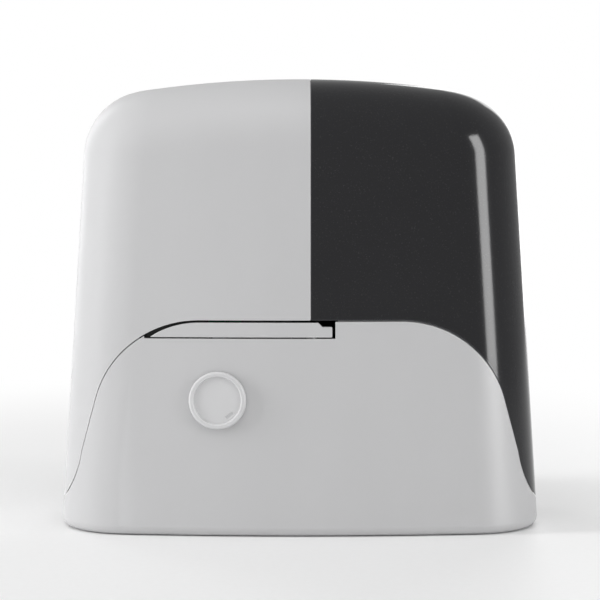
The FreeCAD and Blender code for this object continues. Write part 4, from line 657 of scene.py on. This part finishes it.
def solids(node):
    """The separate solids of a node, each as a list of its places."""
    skin = joined(node)
    seen, groups = set(), []
    for start in skin.verts:
        if start in seen:
            continue
        queue, group = [start], []
        seen.add(start)
        while queue:
            vertex = queue.pop()
            group.append(vertex.co.copy())
            for edge in vertex.link_edges:
                other = edge.other_vert(vertex)
                if other not in seen:
                    seen.add(other)
                    queue.append(other)
        groups.append(group)
    skin.free()
    return groups


def heads(node, facing):
    """The middle of each solid's end face on the facing side."""
    spots = []
    for group in solids(node):
        far = max(place.dot(facing) for place in group)
        low = Vector([min(p[i] for p in group) for i in range(3)])
        high = Vector([max(p[i] for p in group) for i in range(3)])
        centre = (low + high) / 2
        spots.append(centre + facing * (far - centre.dot(facing)))
    return spots


# ---------------------------------------------------------------- repeated forms


class Pattern(Graph):
    """A Geometry Nodes tree with named inputs, which ends in real meshes with their finish."""

    def __init__(self, name, **inputs):
        super().__init__(bpy.data.node_groups.new(name, "GeometryNodeTree"))
        interface = self.tree.interface
        for way in ("INPUT", "OUTPUT"):
            interface.new_socket("Geometry", in_out=way, socket_type="NodeSocketGeometry")
        kinds = {int: "NodeSocketInt", float: "NodeSocketFloat"}
        for key, value in inputs.items():
            socket = interface.new_socket(key, in_out="INPUT", socket_type=kinds[type(value)])
            socket.default_value = value
        self.entry = self.tree.nodes.new("NodeGroupInput")
        self.exit = self.tree.nodes.new("NodeGroupOutput")

    def input(self, name):
        return Value(self, self.entry.outputs[name])

    def vector(self, x, y, z):
        return self.add("ShaderNodeCombineXYZ", {0: x, 1: y, 2: z})

    def end(self, geometry, material):
        """Closes the tree: real meshes, then their finish."""
        real = self.add("GeometryNodeRealizeInstances", {0: geometry})
        done = self.add("GeometryNodeSetMaterial", {0: real, 2: material})
        self.tree.links.new(done.socket, self.exit.inputs[0])


def repeated(name, pattern, spots, facing, material, **sizes):
    """Bakes a pattern on a list of places into one plain mesh; facing is where its own Z points."""
    mesh = bpy.data.meshes.new(name + "_spots")
    mesh.from_pydata([tuple(s) for s in spots], [], [])
    carrier = bpy.data.objects.new(name, mesh)
    bpy.context.scene.collection.objects.link(carrier)
    modifier = carrier.modifiers.new("pattern", "NODES")
    modifier.node_group = pattern.tree
    turn = Vector(facing).to_track_quat("Z", "Y").to_euler()
    given = dict(sizes, Turn_X=turn.x, Turn_Y=turn.y, Turn_Z=turn.z)
    for item in pattern.tree.interface.items_tree:
        if item.in_out == "INPUT" and item.name in given:
            modifier[item.identifier] = given[item.name]
    freeze(carrier)
    if not carrier.data.polygons:
        raise RuntimeError(f"{name}: the pattern made nothing")
    skin = bmesh.new()
    skin.from_mesh(carrier.data)
    smoothed(skin, carrier.data, PATTERN_SHARP)
    if not carrier.data.materials:
        carrier.data.materials.append(material)
    return carrier


TURNS = {"Turn_X": 0.0, "Turn_Y": 0.0, "Turn_Z": 0.0}


def placed(pattern, points, shape, **inputs):
    """A shape on every one of a set of points."""
    return pattern.add(
        "GeometryNodeInstanceOnPoints", {"Points": points, "Instance": shape, **inputs})


def on_spots(pattern, shape):
    """Puts a shape on every place of the carrier, turned to its facing."""
    turn = pattern.vector(*(pattern.input(name) for name in TURNS))
    points = pattern.add("GeometryNodeMeshToPoints", {0: pattern.input("Geometry")})
    rotation = pattern.add("FunctionNodeEulerToRotation", {0: turn})
    return placed(pattern, points, shape, Rotation=rotation)


def joined_up(pattern, *shapes):
    join = pattern.tree.nodes.new("GeometryNodeJoinGeometry")
    for shape in reversed(shapes):
        pattern.tree.links.new(shape.socket, join.inputs[0])
    return Value(pattern, join.outputs[0])


def cross_recess(material):
    """A screw's cross recess: two crossed slots and a round centre, sunk in the head."""
    pattern = Pattern("cross_recess", Width=5 * MM, Slot=1 * MM, Depth=0.6 * MM, **TURNS)
    width, slot, depth = (pattern.input(name) for name in ("Width", "Slot", "Depth"))
    first = pattern.add("GeometryNodeMeshCube", {0: pattern.vector(width, slot, depth)})
    second = pattern.add("GeometryNodeMeshCube", {0: pattern.vector(slot, width, depth)})
    centre = pattern.add("GeometryNodeMeshCylinder",
                         {"Vertices": 12, "Radius": slot * 0.85, "Depth": depth * 1.02})
    pattern.end(on_spots(pattern, joined_up(pattern, first, second, centre)), material)
    return pattern


def cooling_fins(material):
    """Straight fins that stand round a motor's can."""
    pattern = Pattern("cooling_fins", Count=28, Radius=34 * MM, Height=1.2 * MM, Thickness=1 * MM,
                      Length=50 * MM, **TURNS)
    count, radius = pattern.input("Count"), pattern.input("Radius")
    circle = pattern.add("GeometryNodeMeshCircle", {"Vertices": count, "Radius": radius})
    fin = pattern.add("GeometryNodeMeshCube", {0: pattern.vector(
        pattern.input("Height") * 2, pattern.input("Thickness"), pattern.input("Length"))})
    index = pattern.add("GeometryNodeInputIndex")
    angle = index * (2 * math.pi) / count
    turn = pattern.add("FunctionNodeEulerToRotation", {0: pattern.vector(0.0, 0.0, angle)})
    pattern.end(on_spots(pattern, placed(pattern, circle, fin, Rotation=turn)), material)
    return pattern


def helical_thread(material):
    """A worm's thread: a tapered ridge wound to the right along the shaft."""
    pattern = Pattern("helical_thread", Turns=4.0, Radius=9 * MM, Pitch=WORM_PITCH, Ridge=4 * MM,
                      Thickness=4 * MM, Steps=40, **TURNS)
    turns, radius, pitch = (pattern.input(n) for n in ("Turns", "Radius", "Pitch"))
    spiral = pattern.add("GeometryNodeCurveSpiral", {
        "Resolution": pattern.input("Steps"), "Rotations": turns,
        "Start Radius": radius, "End Radius": radius, "Height": pitch * turns, "Reverse": True})
    upright = pattern.add("GeometryNodeSetCurveNormal", {"Curve": spiral}, mode="Z_UP")
    half = pattern.input("Thickness") / 2
    profile = pattern.add(
        "GeometryNodeCurvePrimitiveQuadrilateral",
        {"Width": pattern.input("Ridge") * 2, "Bottom Height": half, "Top Height": half},
        mode="KITE")
    ridge = pattern.add("GeometryNodeCurveToMesh",
                        {"Curve": upright, "Profile Curve": profile, "Fill Caps": True})
    centred = pattern.add("GeometryNodeTransform", {
        "Geometry": ridge, "Translation": pattern.vector(0.0, 0.0, pitch * turns * -0.5)})
    pattern.end(on_spots(pattern, centred), material)
    return pattern


def small_parts(material):
    """Rows of chip parts: a grid of places, thinned by chance from a fixed seed."""
    pattern = Pattern("small_parts", Width=80 * MM, Length=60 * MM, Columns=9, Rows=7, Seed=7,
                      **TURNS)
    seed = pattern.input("Seed")
    grid = pattern.add("GeometryNodeMeshGrid", {
        "Size X": pattern.input("Width"), "Size Y": pattern.input("Length"),
        "Vertices X": pattern.input("Columns"), "Vertices Y": pattern.input("Rows")})
    chance = pattern.add("FunctionNodeRandomValue", {2: 0.0, 3: 1.0, "Seed": seed}, output=1)
    gone = pattern.add("FunctionNodeCompare", {0: chance, 1: PARTS_KEPT},
                       operation="GREATER_THAN", data_type="FLOAT")
    left = pattern.add("GeometryNodeDeleteGeometry", {0: grid, 1: gone})
    block = pattern.add("GeometryNodeMeshCube", {0: (3.2 * MM, 1.7 * MM, 1.1 * MM)})
    size = pattern.add("FunctionNodeRandomValue", {2: 0.6, 3: 1.35, "Seed": seed + 3}, output=1)
    quarter = pattern.add("FunctionNodeRandomValue", {4: 0, 5: 1, "Seed": seed + 5},
                          output=2, data_type="INT")
    angles = pattern.vector(0.0, 0.0, quarter * (math.pi / 2))
    turn = pattern.add("FunctionNodeEulerToRotation", {0: angles})
    parts = placed(pattern, left, block, Rotation=turn, Scale=pattern.vector(size, size, 1.0))
    pattern.end(on_spots(pattern, parts), material)
    return pattern


def wire_turns(material):
    """Turns of wire stacked round a square bobbin."""
    pattern = Pattern("wire_turns", Turns=20, Width=30 * MM, Depth=30 * MM, Corner=4 * MM,
                      Length=30 * MM, Wire=0.7 * MM, **TURNS)
    loop = pattern.add("GeometryNodeCurvePrimitiveQuadrilateral",
                       {"Width": pattern.input("Width"), "Height": pattern.input("Depth")})
    soft = pattern.add("GeometryNodeFilletCurve",
                       {"Curve": loop, "Radius": pattern.input("Corner"), "Count": 4}, mode="POLY")
    profile = pattern.add("GeometryNodeCurvePrimitiveCircle",
                          {"Resolution": 8, "Radius": pattern.input("Wire")})
    turn = pattern.add("GeometryNodeCurveToMesh", {"Curve": soft, "Profile Curve": profile})
    length, turns = pattern.input("Length"), pattern.input("Turns")
    line = pattern.add("GeometryNodeMeshLine", {
        "Count": turns, "Start Location": pattern.vector(0.0, 0.0, length * -0.5),
        "Offset": pattern.vector(0.0, 0.0, length / (turns - 1))})
    pattern.end(on_spots(pattern, placed(pattern, line, turn)), material)
    return pattern


# ---------------------------------------------------------------- pieces


def recessed(node, facing, recess, dark, width):
    """A cross recess in the head of every screw of a node; facing is the way the heads look."""
    spots = [spot - Vector(facing) * RECESS_SINK for spot in heads(node, Vector(facing))]
    piece = repeated(node + "_drive", recess, spots, facing, dark, Width=width, Slot=0.9 * MM)
    finished(piece, NODES[node]["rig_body"])


class GATE_OT_shells(bpy.types.Operator):
    """Base shell, both halves of the cover and the joint between them"""

    bl_idname = "gate.shells"
    bl_label = "Shells"

    def execute(self, context):
        look = context.scene.gate_shell
        pale, dark = pale_shell(look), dark_shell(look).material
        dressed("base_shell", pale, look.rounding, True)
        dressed("cover_light", pale, look.rounding, True)
        dressed("cover_dark", dark, look.rounding, True)
        beige = moulded("beige_clip_plastic", BEIGE, 0.45).material
        dressed("cover_clips", beige, look.rounding * 0.6)
        return {"FINISHED"}


class GATE_OT_light(bpy.types.Operator):
    """Charcoal insert, frosted strip and the row of lamps behind it"""

    bl_idname = "gate.light"
    bl_label = "Light strip"

    def execute(self, context):
        look = context.scene.gate_shell
        dressed("light_panel", lit_panel(look), look.rounding * 0.8, True)
        dressed("light_lens", lens(look), look.rounding * 0.8)
        dressed("led_strip", circuit(context.scene.gate_inside), 0.1 * MM)
        return {"FINISHED"}


class GATE_OT_release(bpy.types.Operator):
    """Release lever, its shaft and cam, and the lock with its swinging cap"""

    bl_idname = "gate.release"
    bl_label = "Release"

    def execute(self, context):
        look, drive = context.scene.gate_shell, context.scene.gate_drive
        pale = moulded("lever_satin_plastic", look.pale, 0.42, 0.8 * MM, 0.012 * MM, 1.1,
                       Coat_Weight=0.12).material
        steel = ground("release_steel", BARE_STEEL)
        plated = turned("release_zinc", drive.zinc, middle("lock_plug"), 1).material
        lever = dressed("release_lever", pale, 0.4 * MM)
        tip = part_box("release_lever")[0][0]
        for vertex in lever.data.vertices:
            if vertex.co.x < LEVER_CURVE:
                vertex.co.x -= LEVER_STRETCH * (LEVER_CURVE - vertex.co.x) / (LEVER_CURVE - tip)
        cap = moulded("cap_satin_plastic", shade(look.pale, 1.12), 0.36, 0.8 * MM,
                      rim_light=1.15).material
        dressed("lock_cap", cap, 0.35 * MM)
        for node in ("lock_plug", "lock_cam", "lock_nut", "lock_body"):
            dressed(node, plated, 0.2 * MM)
        for node in ("release_shaft", "release_cam", "push_rod"):
            dressed(node, steel, 0.2 * MM)
        dressed("release_bracket", ground("bracket_zinc", drive.zinc, 0.32), drive.rounding)
        return {"FINISHED"}


class GATE_OT_drive(bpy.types.Operator):
    """Pinion, flange, guard and the parts on the output shaft"""

    bl_idname = "gate.drive"
    bl_label = "Output drive"

    def execute(self, context):
        drive = context.scene.gate_drive
        centre = middle("output_shaft")
        outer = reach("pinion").x / 2
        width = drive.rounding
        plated = turned("flange_zinc", drive.zinc, centre, 1).material
        teeth = root_shaded_teeth("pinion_cut_steel", drive.steel, centre, 1, outer * 0.76, outer * 0.98)
        bronze = turned("wheel_bronze", BRONZE, middle("worm_wheel"), 1, 0.28).material
        steel = turned("shaft_steel", SHAFT_STEEL, centre, 1, 0.26).material
        dressed("pinion", teeth, width)
        dressed("output_flange", plated, width * 1.5)
        guard = moulded("guard_satin_plastic", drive.guard, 0.4).material
        dressed("pinion_guard", guard, width * 1.6)
        dressed("worm_wheel", bronze, width)
        for node in ("output_shaft", "shaft_key", "clutch_pin", "clutch_sleeve"):
            dressed(node, steel, width)
        for node in ("pinion_washer", "pinion_screw", "guard_screws"):
            dressed(node, plated, width * 0.7)
        dressed("shaft_seal", moulded("seal_rubber", RUBBER, 0.75).material, width)
        for node in ("front_bearing", "rear_bearing"):
            dressed(node, steel, width)
        dark = moulded("recess_shadow", SHADOW, 0.6).material
        recess = cross_recess(dark)
        for node in ("guard_screws", "pinion_screw"):
            recessed(node, BACKWARD, recess, dark, 4.4 * MM)
        return {"FINISHED"}


class GATE_OT_limit(bpy.types.Operator):
    """Limit switch box, its spring rod and rounded tip"""

    bl_idname = "gate.limit"
    bl_label = "Limit switch"

    def execute(self, context):
        black = moulded("switch_black_plastic", paint(38, 38, 40), 0.45).material
        dressed("limit_rod", ground("rod_zinc", BRIGHT_ZINC, 0.2, (6, 0.5, 6)), 0.2 * MM)
        dressed("limit_rod_tip", ground("tip_steel", DARK_STEEL, 0.3), 0.2 * MM)
        for node in ("limit_housing", "limit_lid", "microswitches"):
            dressed(node, black, 0.3 * MM)
        return {"FINISHED"}


class GATE_OT_gearbox(bpy.types.Operator):
    """Gearbox casting, chassis and the screws that hold them"""

    bl_idname = "gate.gearbox"
    bl_label = "Gearbox and chassis"

    def execute(self, context):
        drive = context.scene.gate_drive
        alloy = die_cast()
        plated = turned("screw_zinc", drive.zinc, (0, 0, 0), 2, 0.3).material
        for node in ("gearbox_housing", "gearbox_lid", "chassis"):
            dressed(node, alloy, drive.rounding * 1.5)
        dark = moulded("screw_recess_shadow", SHADOW, 0.6).material
        recess = cross_recess(dark)
        facings = {"shell_screws": DOWN, "lid_screws": FORWARD, "gearbox_bolts": UP}
        for node, facing in facings.items():
            dressed(node, plated, drive.rounding * 0.6)
            recessed(node, facing, recess, dark, 4.2 * MM)
        dressed("seam_screws", plated, drive.rounding * 0.6)
        return {"FINISHED"}


class GATE_OT_motor(bpy.types.Operator):
    """Finned motor, rotor, worm and encoder disc"""

    bl_idname = "gate.motor"
    bl_label = "Motor and worm"

    def execute(self, context):
        drive, inside = context.scene.gate_drive, context.scene.gate_inside
        coat = enamel("motor_black_enamel", paint(46, 46, 50))
        for node in ("motor_can", "motor_end_cap"):
            dressed(node, coat, drive.rounding * 1.4)
        size = reach("motor_can")
        fins = repeated("motor_fins", cooling_fins(coat), [middle("motor_can")], UP, coat,
                        Count=inside.fins, Radius=size.x / 2 - 0.6 * MM, Height=0.9 * MM,
                        Thickness=1.3 * MM, Length=size.z * 0.72)
        finished(fins, "base")
        steel = ground("worm_steel", BARE_STEEL, 0.24)
        dressed("worm_shaft", steel, drive.rounding)
        spot = middle("worm_shaft")
        spot.z = middle("worm_wheel").z
        thread = repeated("worm_thread", helical_thread(steel), [spot], UP, steel,
                          Turns=drive.worm_turns, Radius=8.9 * MM, Pitch=WORM_PITCH, Ridge=5 * MM,
                          Thickness=4.2 * MM)
        finished(thread, "worm")
        dressed("worm_bearings", steel, drive.rounding)
        dressed("rotor", laminated("rotor_laminations", 2), drive.rounding)
        disc = moulded("encoder_black_plastic", paint(30, 30, 32), 0.35).material
        dressed("encoder_disc", disc, 0.1 * MM)
        return {"FINISHED"}


class GATE_OT_electronics(bpy.types.Operator):
    """Control board with its tray, terminals, relays and small parts"""

    bl_idname = "gate.electronics"
    bl_label = "Electronics"

    def execute(self, context):
        inside = context.scene.gate_inside
        black = moulded("tray_black_plastic", paint(40, 40, 42), 0.45).material
        green = moulded("terminal_green_plastic", paint(58, 128, 84), 0.42).material
        relay = moulded("relay_black_plastic", paint(28, 29, 31), 0.3).material
        dressed("board_tray", black, 0.4 * MM)
        dressed("control_board", circuit(inside), 0.1 * MM)
        dressed("board_posts", ground("post_zinc", context.scene.gate_drive.zinc), 0.2 * MM)
        dressed("terminal_blocks", green, 0.2 * MM)
        dressed("relays", relay, 0.4 * MM)
        dressed("capacitor", enamel("capacitor_sleeve", paint(40, 44, 66), 0.3), 0.4 * MM)
        glass = moulded("display_smoked_plastic", paint(22, 26, 30), 0.12).material
        dressed("display_window", glass, 0.2 * MM)
        size, centre = reach("control_board"), middle("control_board")
        front, rise = size.y / 2 + 0.5 * MM, size.z * 0.06
        spot = centre + Vector((0, -front, rise))
        parts = repeated("board_small_parts", small_parts(relay), [spot], FORWARD, relay,
                         Width=size.x * 0.82, Length=32 * MM, Columns=15, Rows=inside.parts)
        finished(parts, "base")
        return {"FINISHED"}


class GATE_OT_transformer(bpy.types.Operator):
    """Laminated core, wound coil and strap"""

    bl_idname = "gate.transformer"
    bl_label = "Transformer"

    def execute(self, context):
        inside = context.scene.gate_inside
        dressed("transformer_core", laminated(), 0.3 * MM)
        copper = wound(2, 1.4 * MM)
        dressed("transformer_coil", copper, 0.4 * MM)
        dressed("transformer_strap", ground("strap_zinc", context.scene.gate_drive.zinc), 0.3 * MM)
        size = reach("transformer_coil")
        turns = repeated("coil_turns", wire_turns(copper), [middle("transformer_coil")], UP, copper,
                         Turns=inside.turns, Width=size.x - 1.2 * MM, Depth=size.y - 1.2 * MM,
                         Corner=2 * MM, Length=size.z - 3 * MM, Wire=0.75 * MM)
        finished(turns, "base")
        return {"FINISHED"}


def plain_rays(graph):
    """1 for rays that see the backdrop itself: from the camera or through glass."""
    path = graph.tree.nodes.new("ShaderNodeLightPath")
    seen = [Value(graph, path.outputs[n]) for n in ("Is Camera Ray", "Is Transmission Ray")]
    return (seen[0] + seen[1]).at_most(1.0)


# name, place and size in metres, watts, whether gloss mirrors it, whether it lights dull skins
LAMPS = (
    ("left_end_box", (-2.1, -0.4, 0.7), (0.5, 1.4), 32.0, False, True),
    ("right_front_box", (1.9, -0.9, 0.6), (0.3, 1.3), 9.0, False, True),
    ("right_front_strip", (1.75, -1.15, 0.66), (0.6, 1.36), 34.0, True, False),
    ("right_back_box", (0.7, 2.0, 0.6), (0.9, 1.4), 9.0, True, True),
    ("left_back_box", (-1.3, 1.6, 0.7), (0.5, 1.4), 5.0, True, True),
    ("top_box", (0.0, -0.9, 2.1), (1.6, 1.2), 12.0, False, True),
)
LAMP_AIM = Vector((0, 0, 0.15))
FLOOR_HALF = 6.0
FLOOR_FADES = (0.3, 0.9)  # from here to here the floor passes into the plain backdrop
CAMERA_FIELD, CAMERA_RISE, CAMERA_AWAY = math.radians(18.3), math.radians(3.5), 1.2


class GATE_OT_stage(bpy.types.Operator):
    """Pale floor, soft studio light and the camera"""

    bl_idname = "gate.stage"
    bl_label = "Stage"

    def execute(self, context):
        scene = context.scene
        scene.view_settings.view_transform = "Standard"
        self.lay_floor(scene)
        self.light_up(scene)
        self.set_camera(scene)
        return {"FINISHED"}

    def lay_floor(self, scene):
        mesh = bpy.data.meshes.new("floor")
        signs = ((-1, -1), (1, -1), (1, 1), (-1, 1))
        corners = [(x * FLOOR_HALF, y * FLOOR_HALF, 0) for x, y in signs]
        mesh.from_pydata(corners, [], [(0, 1, 2, 3)])
        floor = bpy.data.objects.new("floor", mesh)
        scene.collection.objects.link(floor)
        finish = Finish("pale_floor", Roughness=0.6)
        grain = finish.noise(4 * MM, 3)
        finish.drive(Base_Color=finish.blend(grain, (0.86, 0.86, 0.86), (0.9, 0.9, 0.9)))
        x, y, _ = finish.parts()
        far = finish.band((x * x + y * y) ** 0.5, *FLOOR_FADES)
        shine = finish.add("ShaderNodeEmission", {0: (1, 1, 1, 1), 1: 1.0})
        mixed = finish.add("ShaderNodeMixShader", {
            0: far * plain_rays(finish), 1: Value(finish, finish.shader.outputs[0]), 2: shine})
        finish.tree.links.new(mixed.socket, finish.tree.nodes["Material Output"].inputs[0])
        mesh.materials.append(finish.material)

    def light_up(self, scene):
        """A white backdrop that lights things at half its own brightness, and the lamps."""
        world = bpy.data.worlds.new("studio")
        world.use_nodes = True
        scene.world = world
        graph = Graph(world.node_tree)
        background = graph.tree.nodes["Background"]
        background.inputs["Color"].default_value = (1, 1, 1, 1)
        strength = 0.5 + plain_rays(graph) * 0.5
        graph.tree.links.new(strength.socket, background.inputs["Strength"])
        for name, place, size, power, mirrored, lit in LAMPS:
            lamp = bpy.data.lights.new(name, "AREA")
            lamp.shape, lamp.size, lamp.size_y, lamp.energy = "RECTANGLE", *size, power
            box = bpy.data.objects.new(name, lamp)
            box.location = place
            box.rotation_euler = (LAMP_AIM - Vector(place)).to_track_quat("-Z", "Y").to_euler()
            box.visible_glossy, box.visible_diffuse = mirrored, lit
            scene.collection.objects.link(box)

    def set_camera(self, scene):
        data = bpy.data.cameras.new("camera")
        data.sensor_width = 36
        data.lens = data.sensor_width / 2 / math.tan(CAMERA_FIELD / 2)
        camera = bpy.data.objects.new("camera", data)
        target = Vector((0, 0, (CAD_BOX[0][2] + CAD_BOX[1][2]) / 2))
        away = Vector((0, -math.cos(CAMERA_RISE), math.sin(CAMERA_RISE))) * CAMERA_AWAY
        camera.location = target + away
        camera.rotation_euler = (target - camera.location).to_track_quat("-Z", "Y").to_euler()
        scene.collection.objects.link(camera)
        scene.camera = camera


OPERATORS = (
    GATE_OT_shells, GATE_OT_light, GATE_OT_release, GATE_OT_drive, GATE_OT_limit, GATE_OT_gearbox,
    GATE_OT_motor, GATE_OT_electronics, GATE_OT_transformer, GATE_OT_stage,
)


class GATE_PT_panel(bpy.types.Panel):
    """Lists the sizes, colours and steps of the gate motor"""

    bl_idname = "GATE_PT_panel"
    bl_label = "Sliding gate motor"
    bl_space_type = "VIEW_3D"
    bl_region_type = "UI"
    bl_category = "Gate motor"

    def draw(self, context):
        scene = context.scene
        for group in (scene.gate_shell, scene.gate_drive, scene.gate_inside):
            box = self.layout.box()
            for name in group.__annotations__:
                box.prop(group, name)
        for operator in OPERATORS:
            self.layout.operator(operator.bl_idname)


CLASSES = (ShellLook, DriveLook, InsideLook, *OPERATORS, GATE_PT_panel)


def register():
    for kind in CLASSES:
        bpy.utils.register_class(kind)
    bpy.types.Scene.gate_shell = PointerProperty(type=ShellLook)
    bpy.types.Scene.gate_drive = PointerProperty(type=DriveLook)
    bpy.types.Scene.gate_inside = PointerProperty(type=InsideLook)


def unregister():
    for name in ("gate_inside", "gate_drive", "gate_shell"):
        delattr(bpy.types.Scene, name)
    for kind in reversed(CLASSES):
        bpy.utils.unregister_class(kind)


def main():
    register()
    for operator in OPERATORS:
        group, name = operator.bl_idname.split(".")
        getattr(getattr(bpy.ops, group), name)()


if __name__ == "__main__":
    main()
